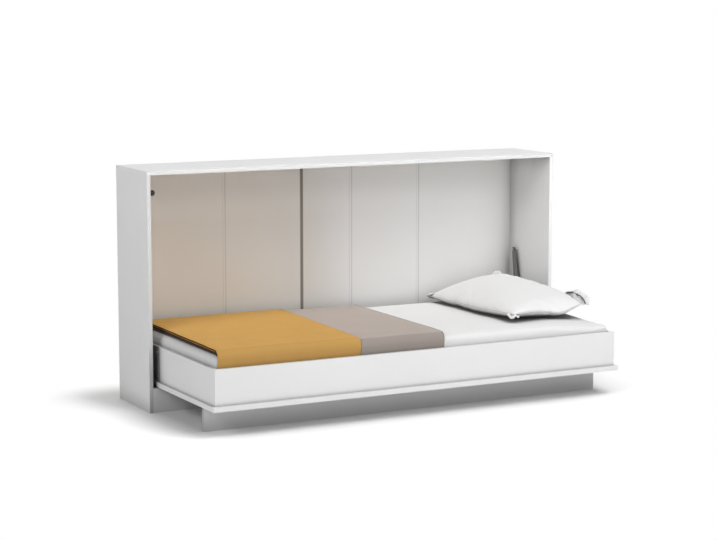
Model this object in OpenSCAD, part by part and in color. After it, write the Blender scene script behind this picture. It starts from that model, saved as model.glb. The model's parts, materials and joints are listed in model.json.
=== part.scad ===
// Horizontal wall bed: a bed box hinged in a low cabinet, with gas struts and a fold-out foot.
// X runs along the bed, Y runs from the room towards the wall, Z is up. Sizes in millimetres.
// The origin is on the floor, under the middle of everything when the bed is open.

/* [Mattress] */
// Length of the mattress
mattress_l = 2000; // [1900:10:2100]
// Width of the mattress
mattress_w = 900; // [860:10:920]
// Thickness of the mattress in its middle
mattress_t = 180; // [150:5:185]
// Radius of the mattress along its upper and lower edges
mattress_edge_r = 30; // [20:1:40]
// Radius of the mattress corners seen from above
mattress_corner_r = 55; // [45:1:80]
// Height of the crown in the middle of the mattress
mattress_crown = 6; // [2:1:10]
// How far the mattress border is drawn in between its edges
mattress_waist = 3; // [0:1:6]

/* [Bed box] */
// Thickness of the rails of the bed box
rail_t = 18; // [16:1:22]
// Height of the rails above the base panel
rail_h = 159; // [145:1:170]
// Thickness of the base panel, which is the front when the bed is closed
panel_t = 22; // [19:1:25]
// How far the base panel stands past the front rail
front_overhang = 16; // [10:1:25]
// How far the base panel stands past each end rail
end_overhang = 13; // [5:1:18]
// Gap between the mattress and each end rail
end_gap = 2; // [2:0.5:6]
// Gap between the mattress and the front and rear rails, where throws are tucked in
tuck_gap = 8; // [8:0.5:12]
// Width of the battens that carry the slats
batten_w = 30; // [20:1:45]
// Height of the battens that carry the slats
batten_h = 24; // [18:1:30]
// Width of a slat
slat_w = 80; // [60:1:110]
// Thickness of a slat
slat_t = 12; // [9:0.5:16]
// Gap between the end of a slat and the rail
slat_gap = 1; // [0.5:0.5:3]

/* [Cabinet] */
// Depth of the cabinet
cabinet_d = 375; // [365:1:395]
// Thickness of the cabinet boards
board_t = 18; // [16:1:22]
// Height of the plinth
plinth_h = 112; // [100:1:116]
// Gap between the plinth and the base panel that passes over it
pass_gap = 5; // [3:0.5:10]
// Gap between an end rail and the side panel, where the fittings lie
fitting_gap = 32; // [31:0.5:40]
// Gap between the closed front and the top panel
top_gap = 3; // [2:0.5:6]
// Extra height of the toe gap, which lets the closing front clear the plinth
toe_gap = 3; // [2:0.5:8]
// Gap between the rear rail and the back wall
rear_gap = 26; // [25:1:40]
// Thickness of the back panels
back_t = 6; // [4:0.5:8]
// How far the back panels are set in from the wall
back_recess = 6; // [3:0.5:10]
// Distances of the four seams in the back wall from its left end
seam_1 = 520; // [420:1:620]
seam_2 = 922; // [820:1:980]
seam_3 = 1194; // [1100:1:1300]
seam_4 = 1569; // [1450:1:1700]
// Width of the strips that join the back panels
strip_w = 24; // [16:1:30]
// Width of the dark strip in the second seam
dark_strip_w = 17; // [12:1:24]
// Thickness of the strips
strip_t = 1.2; // [0.8:0.1:2]
// Height of the rail that is screwed to the wall
wall_rail_h = 90; // [70:1:100]
// Thickness of the rail that is screwed to the wall
wall_rail_t = 18; // [16:1:20]
// Height of the wall rail's lower edge above the floor
wall_rail_z = 120; // [118:1:140]
// Spacing of the wall screws
wall_pitch = 600; // [560:5:620]
// Radius of the holes for the wall screws
wall_hole_r = 4.5; // [3.5:0.25:5]

/* [Pivot] */
// Distance of the bed pivot behind the cabinet's front; the cabinet's height follows from it
pivot_back = 160.5; // [154:0.5:168]
// Radius of the pivot pins
pin_r = 8; // [6:0.5:9]
// Thickness of the hinge plates on the bed box
plate_t = 4; // [3:0.5:5]
// Thickness of the pivot brackets in the cabinet
bracket_t = 3; // [2.5:0.5:4]
// Side of the square pivot brackets
bracket_w = 110; // [96:1:130]
// Radius of the boss on a pivot bracket
boss_r = 18; // [16:0.5:22]
// Length of the boss on a pivot bracket
boss_l = 13; // [9:0.5:14]
// Wall of the pivot bushes
bush_wall = 3; // [2:0.25:3.5]
// Thickness of the flange of a bush
flange_t = 3; // [2:0.25:4]
// Radial clearance of pins and rods in their bores
run_gap = 0.05; // [0.02:0.01:0.09]

/* [Gas struts] */
// Distance of the upper strut pivot behind the cabinet's front
anchor_y = 296.5; // [285:0.5:305]
// Height of the upper strut pivot
anchor_z = 584.5; // [560:0.5:600]
// Distance of the lower strut pivot behind the bed pivot
lever_y = 80; // [70:0.5:86]
// Height of the lower strut pivot above the bed pivot
lever_z = 30; // [24:0.5:36]
// Radius of the strut cover at its lower end
cover_r = 14.5; // [12:0.25:14.5]
// Radius of the strut cover under its upper eye
cover_top_r = 9.5; // [8:0.25:11]
// Length over which the strut cover widens
cover_taper = 150; // [100:1:200]
// Length of the strut cylinder below its upper pivot
cylinder_l = 250; // [235:1:256]
// Radius of the strut rod
rod_r = 5; // [4:0.25:6]
// Radius of the flange of an upper strut stud
stud_flange_r = 9; // [7:0.5:9]
// Depth to which an upper strut stud is screwed into the side panel
stud_depth = 14; // [10:1:14]
// Radius of the studs that carry the struts
stud_r = 4; // [3:0.25:4.5]
// Thickness of the eyes at both ends of a strut
eye_t = 8; // [6:0.5:10]

/* [Foot] */
// Thickness of the foot board
foot_t = 18; // [16:1:22]
// How far the foot board stands behind the open front
foot_setback = 166; // [120:1:200]
// How far the foot board ends short of the base panel at each end
foot_end = 24; // [15:1:60]
// Gap between the foot board and the base panel above it
foot_gap = 0.5; // [0.3:0.1:1]
// Radius of the foot hinge knuckles
knuckle_r = 4; // [3.5:0.25:5]
// Width of a foot hinge
hinge_w = 60; // [50:1:80]
// Radius of a foot hinge pin
hinge_pin_r = 2; // [1.5:0.25:2.25]
// Thickness of the foot hinge leaves
leaf_t = 1.5; // [1:0.1:2]
// Length of the foot hinge leaves
leaf_l = 32; // [26:1:40]

/* [Catch] */
// Radius of the buffer that the closed front rests on
buffer_r = 13; // [9:0.5:13]
// Height of the buffer below the underside of the top panel
buffer_drop = 81; // [60:1:120]
// Thickness of the buffer
buffer_t = 6; // [4:0.5:8]

/* [Bedding] */
// Distance of the ochre throw from the left end of the mattress
ochre_inset = 10; // [6:1:40]
// Width of the ochre throw as it lies folded
ochre_w = 695; // [600:1:720]
// Height of the folded ochre throw on the mattress
ochre_t = 24; // [14:1:26]
// Width of the taupe throw as it lies folded
taupe_w = 442; // [350:1:450]
// Height of the folded taupe throw on the mattress
taupe_t = 13; // [8:0.5:18]
// Gap between the two throws
throw_gap = 1; // [0.5:0.5:3]
// Thickness of the throws where they hang
hang_t = 6; // [4:0.5:7]
// How far the throws hang down behind the front rail
tuck_depth = 12; // [6:1:30]
// How far the rear edge of the throws lies in from the rear of the mattress
throw_rear_inset = 8; // [4:1:30]
// Length of the pillow, across the bed
pillow_l = 765; // [700:5:800]
// Width of the pillow, along the bed
pillow_w = 484; // [420:2:500]
// Height of the pillow's seam above the mattress on its low side
pillow_low = 28; // [20:1:34]
// Height of the pillow's seam above the mattress on its high side
pillow_high = 80; // [60:1:82]
// Height of the pillow's crown above its seam
pillow_crown = 52; // [40:1:54]
// How far the pillow's sides are drawn in between its corners
pillow_pull = 0.06; // [0.02:0.01:0.1]
// Distance of the pillow from the right end of the mattress
pillow_end = 2; // [0:1:60]
// Distance of the pillow from the rear edge of the mattress
pillow_rear = 40; // [32:1:80]

/* [Fasteners] */
// Radius of the dowels
dowel_r = 4; // [3:0.5:5]
// Length of the dowels
dowel_l = 30; // [25:1:36]
// Radius of the screw shanks
screw_r = 2; // [1.5:0.25:2.25]
// Radius of the screw heads
screw_head_r = 4; // [3:0.25:4.5]
// Height of the screw heads
screw_head_t = 1.6; // [1:0.1:2]
// Length of the screw shanks
screw_l = 15; // [12:1:15]

/* [Hidden] */
$fn = 48;
slat_count = 12;
LEFT = -1;
RIGHT = 1;

// A gap that keeps soft and curved pieces clear of what they lie on
soft_gap = 0.4;
// How far a cutting shape reaches past the face that it cuts
cut = 1;
// Clearance of a dowel at each end of its holes, and round it
dowel_end_gap = 1;
dowel_gap = 0.05;

// The bed box in the open bed
box_l = mattress_l + 2 * end_gap + 2 * rail_t;
box_w = mattress_w + 2 * tuck_gap + 2 * rail_t;
under_z = plinth_h + pass_gap;
panel_z = under_z + panel_t;
rail_z = panel_z + rail_h;
slat_z = panel_z + batten_h;
mattress_z = slat_z + slat_t;
bed_top_z = mattress_z + mattress_t;

// The cabinet round it; depths are measured from the cabinet's front plane
cabinet_w = box_l + 2 * fitting_gap + 2 * board_t;
inner_x = cabinet_w / 2 - board_t;
back_y = cabinet_d - back_recess - back_t;
box_rear = back_y - rear_gap;
box_front = box_rear - box_w;
reach = front_overhang - box_front;
front_y = (reach - cabinet_d) / 2;

// The bed pivot lies as high above the base panel's underside as it lies behind the cabinet's front.
// So that underside ends flush with the front, and the cabinet is as high as the closed bed needs.
pivot_y = pivot_back;
pivot_z = under_z + pivot_back;
top_under_z = pivot_z + reach + pivot_back + top_gap;
cabinet_h = top_under_z + board_t;
panel_rear = pivot_y + pivot_z - plinth_h - board_t - toe_gap;
panel_l = box_l + 2 * end_overhang;

// Places across the gap between an end rail and a side panel
rail_x = box_l / 2;
plate_x = rail_x + plate_t;
boss_x = inner_x - bracket_t - boss_l;
flange_x = boss_x - flange_t;
strut_x = rail_x + fitting_gap / 2;
bush_r = pin_r + bush_wall;
collar_r = pin_r + 5;
collar_gap = 0.3;

// The open pivot between the strut rod's eye and the stud on the bed
lever_stud_gap = 0.5;
lever_point = [pivot_y + lever_y, pivot_z + lever_z];
strut_dy = anchor_y - lever_point[0];
strut_dz = anchor_z - lever_point[1];
strut_l = sqrt(strut_dy * strut_dy + strut_dz * strut_dz);
strut_tilt = atan2(strut_dy, strut_dz);
eye_r = 9.5;
stud_flange_t = 3;
cylinder_wall = 3;
rod_inside = 178;
piston_t = 12;
piston_r = cover_top_r - cylinder_wall;
bore_top = 30;
gland_l = 14;

// Places of the fasteners
screw_gap = 0.05;
plate_rear_y = pivot_y + 100;
plate_screws = [
    for (y = [16, plate_rear_y / 2, plate_rear_y - 16])
        for (z = [panel_z + 24, rail_z - 24])
            if (norm([y - pivot_y, z - pivot_z]) > 34) [y, z]
];
bracket_screw_off = bracket_w / 2 - 12;
plate_margin = 2;
arm_r = 17;
carcase_dowel_y = [60, cabinet_d / 2, cabinet_d - 60];
plinth_dowel_z = [plinth_h * 0.3, plinth_h * 0.7];
wall_rail_dowel_z = [wall_rail_z + 25, wall_rail_z + wall_rail_h - 25];
panel_dowel_x = [-box_l * 0.44, -box_l * 0.22, 0, box_l * 0.22, box_l * 0.44];
panel_dowel_y = [box_front + 180, box_front + box_w * 0.45];
corner_dowel_z = [panel_z + 40, rail_z - 40];
dowel_in_face = board_t * 2 / 3;
dowel_in_edge = dowel_l - dowel_in_face;

// The slats and their screws
slat_pitch = mattress_l / slat_count;
slat_screw_l = slat_t + batten_h * 0.7;
slat_screw_y = [box_front + rail_t + batten_w / 2, box_rear - rail_t - batten_w / 2];

function slat_x(i) = (i + 0.5 - slat_count / 2) * slat_pitch;

// The foot and its hinges
knuckle_gap = 0.3;
foot_back_y = -reach + foot_setback + foot_t;
foot_axis_y = foot_back_y + knuckle_r + knuckle_gap;
foot_axis_z = under_z - knuckle_r - knuckle_gap;
foot_hinge_x = [-panel_l * 0.39, -panel_l * 0.13, panel_l * 0.13, panel_l * 0.39];
knuckle_joint = 0.8;
middle_knuckle_l = hinge_w * 0.45;
outer_knuckle_l = (hinge_w - middle_knuckle_l) / 2 - knuckle_joint;
leaf_screw_off = 18;
leaf_screw_in = 9;
leaf_screw_l = 13;

// The catch stands beside the closed bed box
buffer_gap = 0.5;
buffer_y = panel_t + buffer_gap;
buffer_x = rail_x + buffer_r + 2;
buffer_z = top_under_z - buffer_drop;
catch_t = 3;

// The back wall and its seams
seams = [for (s = [seam_1, seam_2, seam_3, seam_4]) s - inner_x];
seam_slack = 0.2;
panel_edges = concat([-inner_x], seams, [inner_x]);
wall_hole_x = [-1.5 * wall_pitch, -0.5 * wall_pitch, 0.5 * wall_pitch, 1.5 * wall_pitch];
wall_hole_z = wall_rail_z + wall_rail_h / 2;

// The strip's web takes this much from each of the two panels at a seam
web_half = strip_t / 2 + seam_slack;

// The bedding: the mattress's front and rear, and the height at which throws and pillow lie
lie_z = bed_top_z + 2 * soft_gap;
mattress_front = box_front + rail_t + tuck_gap;
mattress_rear = box_rear - rail_t - tuck_gap;
ochre_x = -mattress_l / 2 + ochre_inset;
taupe_x = ochre_x + ochre_w + throw_gap;
pillow_n = 18;

// Colours
WHITE = [0.93, 0.93, 0.92];
BACK = [0.86, 0.84, 0.81];
STEEL = [0.62, 0.63, 0.65];
BLACK = [0.08, 0.08, 0.09];
BEECH = [0.83, 0.68, 0.48];

// Moves a piece from the cabinet's front plane to its place in the part
module place() translate([0, front_y, 0]) children();

// Turns a piece of the right-hand side into that of the given side
module on_side(side) {
    if (side == RIGHT) children();
    else mirror([1, 0, 0]) children();
}

// A board between two corners
module board(low, high) translate(low) cube(high - low);

// A cylinder along X, from x0 to x1
module rod_x(x0, x1, r, y, z) translate([x0, y, z]) rotate([0, 90, 0]) cylinder(h = x1 - x0, r = r);

// A cylinder along Y, from y0 to y1
module rod_y(y0, y1, r, x, z) translate([x, y0, z]) rotate([-90, 0, 0]) cylinder(h = y1 - y0, r = r);

// A cylinder along Z, from z0 to z1
module rod_z(z0, z1, r, x, y) translate([x, y, z0]) cylinder(h = z1 - z0, r = r);

// A pan-head screw that points down -Z, with its head seated at the origin
module screw() {
    cylinder(h = screw_head_t, r = screw_head_r);
    translate([0, 0, -screw_l]) cylinder(h = screw_l, r = screw_r);
}

// The dowels of the carcase, drawn longer and wider by the given clearances when they cut holes
module carcase_dowel_set(extra_r, extra_l) {
    r = dowel_r + extra_r;
    for (side = [LEFT, RIGHT]) on_side(side) {
        for (y = carcase_dowel_y)
            rod_z(
                top_under_z - dowel_in_edge - extra_l, top_under_z + dowel_in_face + extra_l,
                r, inner_x + board_t / 2, y
            );
        for (z = plinth_dowel_z)
            rod_x(inner_x - dowel_in_edge - extra_l, inner_x + dowel_in_face + extra_l, r, board_t / 2, z);
        for (z = wall_rail_dowel_z)
            rod_x(
                inner_x - dowel_in_edge - extra_l, inner_x + dowel_in_face + extra_l,
                r, back_y - wall_rail_t / 2, z
            );
    }
}

// The dowels of the bed box, with the same clearances
module bed_dowel_set(extra_r, extra_l) {
    r = dowel_r + extra_r;
    z0 = panel_z - dowel_in_face - extra_l;
    z1 = panel_z + dowel_in_edge + extra_l;
    for (x = panel_dowel_x) rod_z(z0, z1, r, x, box_front + rail_t / 2);
    for (x = [-rail_x + rail_t / 2, rail_x - rail_t / 2]) {
        for (y = panel_dowel_y) rod_z(z0, z1, r, x, y);
        for (z = corner_dowel_z) {
            y_front = box_front + rail_t;
            y_rear = box_rear - rail_t;
            rod_y(y_front - dowel_in_face - extra_l, y_front + dowel_in_edge + extra_l, r, x, z);
            rod_y(y_rear - dowel_in_edge - extra_l, y_rear + dowel_in_face + extra_l, r, x, z);
        }
    }
}

// Seats of the screws that hold the right-hand pivot bracket
module bracket_screw_places() {
    for (y = [-1, 1]) for (z = [-1, 1])
        translate([inner_x - bracket_t, pivot_y + y * bracket_screw_off, pivot_z + z * bracket_screw_off])
            rotate([0, -90, 0]) children();
}

// Seats of the screws that hold the catch
module catch_screw_places() {
    for (z = [-1, 1])
        translate([-inner_x + catch_t, buffer_y + buffer_t + 24, buffer_z + z * 12])
            rotate([0, 90, 0]) children();
}

// Seats of the screws that hold the right-hand hinge plate
module plate_screw_places() {
    for (p = plate_screws) translate([plate_x, p[0], p[1]]) rotate([0, 90, 0]) children();
}

// A hole for a screw, from its head's seat
module screw_hole() {
    translate([0, 0, -screw_l - cut]) cylinder(h = screw_l + 2 * cut, r = screw_r + screw_gap);
}

module side_panel(side) {
    color(WHITE) place() difference() {
        on_side(side) board([inner_x, 0, 0], [inner_x + board_t, cabinet_d, top_under_z]);
        carcase_dowel_set(dowel_gap, dowel_end_gap);
        on_side(side) {
            bracket_screw_places() screw_hole();
            rod_x(inner_x - cut, inner_x + stud_depth, stud_r - 1 + run_gap, anchor_y, anchor_z);
        }
        if (side == LEFT) catch_screw_places() screw_hole();
    }
}

module side_panel_left() side_panel(LEFT);
module side_panel_right() side_panel(RIGHT);

module top_panel() {
    color(WHITE) place() difference() {
        board([-cabinet_w / 2, 0, top_under_z], [cabinet_w / 2, cabinet_d, cabinet_h]);
        carcase_dowel_set(dowel_gap, dowel_end_gap);
    }
}

module plinth() {
    color(WHITE) place() difference() {
        board([-inner_x, 0, 0], [inner_x, board_t, plinth_h]);
        carcase_dowel_set(dowel_gap, dowel_end_gap);
    }
}

module back_panel(i) {
    x0 = panel_edges[i] + (i == 0 ? 0 : web_half);
    x1 = panel_edges[i + 1] - (i == 4 ? 0 : web_half);
    color(BACK) place() difference() {
        board([x0, back_y, 0], [x1, back_y + back_t, top_under_z]);
        wall_holes();
    }
}

module back_panel_1() back_panel(0);
module back_panel_2() back_panel(1);
module back_panel_3() back_panel(2);
module back_panel_4() back_panel(3);
module back_panel_5() back_panel(4);

module wall_holes() {
    for (x = wall_hole_x)
        rod_y(back_y - wall_rail_t - cut, back_y + back_t + cut, wall_hole_r, x, wall_hole_z);
}

// An H-shaped strip that holds the edges of two back panels
module joint_strip(x, w) {
    strip_bottom = wall_rail_z + wall_rail_h;
    board([x - w / 2, back_y - strip_t, strip_bottom], [x + w / 2, back_y, top_under_z]);
    board([x - strip_t / 2, back_y - cut / 4, strip_bottom], [x + strip_t / 2, back_y + back_t + cut / 4, top_under_z]);
    board([x - w / 2, back_y + back_t, strip_bottom], [x + w / 2, back_y + back_t + strip_t, top_under_z]);
}

module joint_strips() {
    color(BACK) place() for (i = [0, 2, 3]) joint_strip(seams[i], strip_w);
}

module centre_joint_strip() color([0.30, 0.26, 0.27]) place() joint_strip(seams[1], dark_strip_w);

module wall_rail() {
    color(WHITE) place() difference() {
        board([-inner_x, back_y - wall_rail_t, wall_rail_z], [inner_x, back_y, wall_rail_z + wall_rail_h]);
        carcase_dowel_set(dowel_gap, dowel_end_gap);
        wall_holes();
    }
}

module carcase_dowels() color(BEECH) place() carcase_dowel_set(0, 0);

module pivot_bracket(side) {
    half = bracket_w / 2;
    color(STEEL) place() on_side(side) difference() {
        union() {
            board(
                [inner_x - bracket_t, pivot_y - half, pivot_z - half],
                [inner_x, pivot_y + half, pivot_z + half]
            );
            rod_x(boss_x, inner_x - bracket_t + cut, boss_r, pivot_y, pivot_z);
        }
        rod_x(boss_x - cut, inner_x + cut, bush_r + run_gap, pivot_y, pivot_z);
        bracket_screw_places() screw_hole();
    }
}

module pivot_bracket_left() pivot_bracket(LEFT);
module pivot_bracket_right() pivot_bracket(RIGHT);

module pivot_bush(side) {
    color([0.80, 0.79, 0.74]) place() on_side(side) difference() {
        union() {
            rod_x(flange_x, boss_x, boss_r - 2, pivot_y, pivot_z);
            rod_x(boss_x - cut, inner_x, bush_r, pivot_y, pivot_z);
        }
        rod_x(flange_x - cut, inner_x + cut, pin_r + run_gap, pivot_y, pivot_z);
    }
}

module pivot_bush_left() pivot_bush(LEFT);
module pivot_bush_right() pivot_bush(RIGHT);

// The stud that carries the upper eye of a strut: it is screwed into the side panel
module strut_anchor(side) {
    color(STEEL) place() on_side(side) {
        rod_x(inner_x - stud_flange_t, inner_x, stud_flange_r, anchor_y, anchor_z);
        rod_x(inner_x - cut, inner_x + stud_depth - 1, stud_r - 1, anchor_y, anchor_z);
        rod_x(strut_x + eye_t / 2 + 0.5, inner_x - stud_flange_t + cut, stud_r + 2, anchor_y, anchor_z);
        rod_x(strut_x - eye_t / 2 - 3, inner_x - stud_flange_t, stud_r, anchor_y, anchor_z);
    }
}

module strut_anchor_left() strut_anchor(LEFT);
module strut_anchor_right() strut_anchor(RIGHT);

// An angle on the left side panel whose short leg carries the buffer
module catch_bracket() {
    leg_y = buffer_y + buffer_t;
    color(STEEL) place() difference() {
        union() {
            board([-inner_x, leg_y, buffer_z - 20], [-inner_x + catch_t, leg_y + 40, buffer_z + 20]);
            board([-inner_x, leg_y, buffer_z - 10], [-buffer_x + 8, leg_y + catch_t, buffer_z + 10]);
        }
        catch_screw_places() screw_hole();
        rod_y(leg_y - cut, leg_y + catch_t + cut, screw_r + screw_gap, -buffer_x, buffer_z);
    }
}

// The buffer has a sunk ring round the head of its stem
module catch_buffer() {
    color(BLACK) place() translate([-buffer_x, buffer_y + buffer_t, buffer_z]) rotate([90, 0, 0])
        rotate_extrude() polygon([
            [0, -catch_t - 2], [screw_r, -catch_t - 2], [screw_r, 0], [buffer_r, 0],
            [buffer_r, buffer_t - 1.5], [buffer_r - 1.5, buffer_t], [buffer_r * 0.5, buffer_t],
            [buffer_r * 0.5, buffer_t - 1.5], [buffer_r * 0.35, buffer_t - 1.5],
            [buffer_r * 0.35, buffer_t - 0.5], [0, buffer_t - 0.5]
        ]);
}

module cabinet_screws() {
    color(STEEL) place() {
        for (side = [LEFT, RIGHT]) on_side(side) bracket_screw_places() screw();
        catch_screw_places() screw();
    }
}

module base_panel() {
    color(WHITE) place() difference() {
        board([-panel_l / 2, -reach, under_z], [panel_l / 2, panel_rear, panel_z]);
        bed_dowel_set(dowel_gap, dowel_end_gap);
        foot_leaf_screw_places() screw_hole();
    }
}

module front_rail() {
    color(WHITE) place() difference() {
        board([-rail_x, box_front, panel_z], [rail_x, box_front + rail_t, rail_z]);
        bed_dowel_set(dowel_gap, dowel_end_gap);
    }
}

module rear_rail() {
    color(WHITE) place() difference() {
        board([-rail_x, box_rear - rail_t, panel_z], [rail_x, box_rear, rail_z]);
        bed_dowel_set(dowel_gap, dowel_end_gap);
    }
}

module end_rail(side) {
    color(WHITE) place() difference() {
        on_side(side)
            board([rail_x - rail_t, box_front + rail_t, panel_z], [rail_x, box_rear - rail_t, rail_z]);
        bed_dowel_set(dowel_gap, dowel_end_gap);
        on_side(side) {
            plate_screw_places() screw_hole();
            rod_x(rail_x - 2, rail_x + cut, collar_r, pivot_y, pivot_z);
        }
    }
}

module end_rail_left() end_rail(LEFT);
module end_rail_right() end_rail(RIGHT);

module batten(y) {
    color(BEECH) place() difference() {
        board([-rail_x + rail_t, y, panel_z], [rail_x - rail_t, y + batten_w, slat_z]);
        slat_screw_set(screw_gap, 1);
    }
}

module batten_front() batten(box_front + rail_t);
module batten_rear() batten(box_rear - rail_t - batten_w);

// The sunk screws that hold the slats, drawn wider and longer when they cut holes
module slat_screw_set(extra_r, extra_l) {
    top = mattress_z - soft_gap + extra_l;
    for (i = [0 : slat_count - 1]) for (y = slat_screw_y)
        rod_z(mattress_z - slat_screw_l - extra_l, top, screw_r + extra_r, slat_x(i), y);
}

module slat(i) {
    x = slat_x(i);
    color(BEECH) place() difference() {
        board(
            [x - slat_w / 2, box_front + rail_t + slat_gap, slat_z],
            [x + slat_w / 2, box_rear - rail_t - slat_gap, mattress_z]
        );
        slat_screw_set(screw_gap, 1);
    }
}

// The plate on an end rail that holds the pivot pin and, on its arm, the stud of the strut
module hinge_plate(side) {
    color(BLACK) place() on_side(side) difference() {
        union() {
            board(
                [rail_x, 0, panel_z + plate_margin],
                [plate_x, plate_rear_y, rail_z - plate_margin]
            );
            rod_x(rail_x, plate_x, collar_r + 8, pivot_y, pivot_z);
            board(
                [rail_x, pivot_y - collar_r - 8, panel_z + plate_margin + cut],
                [plate_x, pivot_y + collar_r + 8, pivot_z]
            );
            board(
                [rail_x, lever_point[0] - arm_r, rail_z - plate_margin - cut],
                [plate_x, lever_point[0] + arm_r, lever_point[1]]
            );
            rod_x(rail_x, plate_x, arm_r, lever_point[0], lever_point[1]);
            rod_x(plate_x - cut, strut_x - eye_t / 2 - lever_stud_gap, stud_r, lever_point[0], lever_point[1]);
        }
        rod_x(rail_x - cut, plate_x + cut, pin_r + run_gap, pivot_y, pivot_z);
        plate_screw_places() screw_hole();
    }
}

module hinge_plate_left() hinge_plate(LEFT);
module hinge_plate_right() hinge_plate(RIGHT);

// The pin is riveted into the hinge plate and turns in the bush
module pivot_pin(side) {
    color(STEEL) place() on_side(side) {
        rod_x(rail_x - 1.5, inner_x - 1, pin_r, pivot_y, pivot_z);
        rod_x(rail_x - 1.5, rail_x, collar_r - 1, pivot_y, pivot_z);
        rod_x(plate_x, flange_x - collar_gap, collar_r, pivot_y, pivot_z);
    }
}

module pivot_pin_left() pivot_pin(LEFT);
module pivot_pin_right() pivot_pin(RIGHT);

module bed_dowels() color(BEECH) place() bed_dowel_set(0, 0);

module bed_screws() {
    color(STEEL) place() {
        for (side = [LEFT, RIGHT]) on_side(side) plate_screw_places() screw();
        slat_screw_set(0, 0);
        foot_leaf_screw_places() leaf_screw();
    }
}

// A closed ring of points round a rectangle with round corners
function ring(hx, hy, r, n, z) = [
    for (c = [0 : 3]) for (k = [0 : n])
        let (a = 90 * c + 90 * k / n)
        let (sx = c == 0 || c == 3 ? 1 : -1)
        let (sy = c < 2 ? 1 : -1)
        [sx * (hx - r) + r * cos(a), sy * (hy - r) + r * sin(a), z]
];

// A solid through rings of equal count, closed by flat fans at both ends
module loft(rings) {
    m = len(rings[0]);
    last = len(rings) - 1;
    points = [for (r = rings) for (p = r) p];
    sides = [
        for (i = [0 : last - 1]) for (j = [0 : m - 1])
            let (a = i * m + j, b = i * m + (j + 1) % m)
            for (t = [[a, a + m, b], [b, a + m, b + m]]) t
    ];
    bottom = [for (j = [1 : m - 2]) [0, j, j + 1]];
    top = [for (j = [1 : m - 2]) [last * m, last * m + j + 1, last * m + j]];
    polyhedron(points, concat(sides, bottom, top));
}

// Inset and height of the mattress's rings, from its underside to its crown
mattress_profile = let (r = mattress_edge_r, h = mattress_t - mattress_crown) concat(
    [for (k = [0 : 4]) let (a = 90 * k / 4) [r * (1 - sin(a)), r * (1 - cos(a))]],
    [for (k = [1 : 3]) [mattress_waist * sin(45 * k), r + (h - 2 * r) * k / 4]],
    [for (k = [0 : 5]) let (a = 90 * k / 5) [r * (1 - cos(a)), h - r + r * sin(a)]],
    [for (k = [1 : 4]) let (q = 1 - k / 4) [r + 170 * k / 4, h + mattress_crown * (1 - q * q)]]
);

module mattress() {
    base_z = mattress_z + soft_gap;
    color([0.92, 0.92, 0.92]) place() translate([0, (box_front + box_rear) / 2, base_z])
        loft([
            for (p = mattress_profile)
                ring(
                    mattress_l / 2 - p[0], mattress_w / 2 - p[0],
                    max(mattress_corner_r - p[0], 12), 6, p[1]
                )
        ]);
}

// Section of a folded throw: it lies on the mattress, bends over its front edge and hangs
function throw_section(lie_t) = let (
    r = mattress_edge_r,
    yc = mattress_front + r,
    zc = lie_z - r,
    rear = mattress_rear - throw_rear_inset,
    low = rail_z - tuck_depth,
    steps = 8
) concat(
    [[rear, lie_z]],
    [for (k = [0 : steps]) let (a = 90 * k / steps) [yc - (r + soft_gap) * sin(a), zc + r * cos(a)]],
    [[mattress_front - soft_gap, low], [mattress_front - hang_t, low]],
    [for (k = [steps : -1 : 0]) let (a = 90 * k / steps)
        [yc - (r + hang_t) * sin(a), zc + (r + lie_t) * cos(a)]],
    [for (k = [0 : 4]) let (a = 90 * k / 4)
        [rear - lie_t / 2 + lie_t / 2 * sin(a), lie_z + lie_t / 2 + lie_t / 2 * cos(a)]]
);

// Stretches a throw's section along X from x0 to x1
module throw_run(x0, x1, lie_t) {
    translate([x0, 0, 0]) rotate([90, 0, 90]) linear_extrude(height = x1 - x0) polygon(throw_section(lie_t));
}

// The ochre throw is folded double, and its upper layer stands out a little at the left
module throw_ochre() {
    layer_step = 5;
    color([0.82, 0.60, 0.24]) place() union() {
        throw_run(ochre_x + layer_step, ochre_x + ochre_w, ochre_t);
        intersection() {
            throw_run(ochre_x, ochre_x + ochre_w, ochre_t);
            board(
                [ochre_x, mattress_front, lie_z + ochre_t / 2],
                [ochre_x + ochre_w, mattress_rear, lie_z + ochre_t + cut]
            );
        }
    }
}

module throw_taupe() color([0.60, 0.56, 0.53]) place() throw_run(taupe_x, taupe_x + taupe_w, taupe_t);

// The pillow is a square grid of points, closer together towards its seam
function grid(i) = sin(90 * (2 * i / pillow_n - 1));
function swell(s, t) = pow(max((1 - s * s) * (1 - t * t), 0), 0.36);
function seam_height(s) = pillow_low + (pillow_high - pillow_low) * (s + 1) / 2;
function pillow_point(i, j, upper) = let (
    s = grid(i), t = grid(j),
    f = swell(s, t),
    x = pillow_w / 2 * s * (1 - pillow_pull * (1 - t * t)),
    y = pillow_l / 2 * t * (1 - pillow_pull * (1 - s * s)),
    h = seam_height(s)
) [x, y, upper ? h + pillow_crown * f : h - (h - soft_gap) * f];

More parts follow.
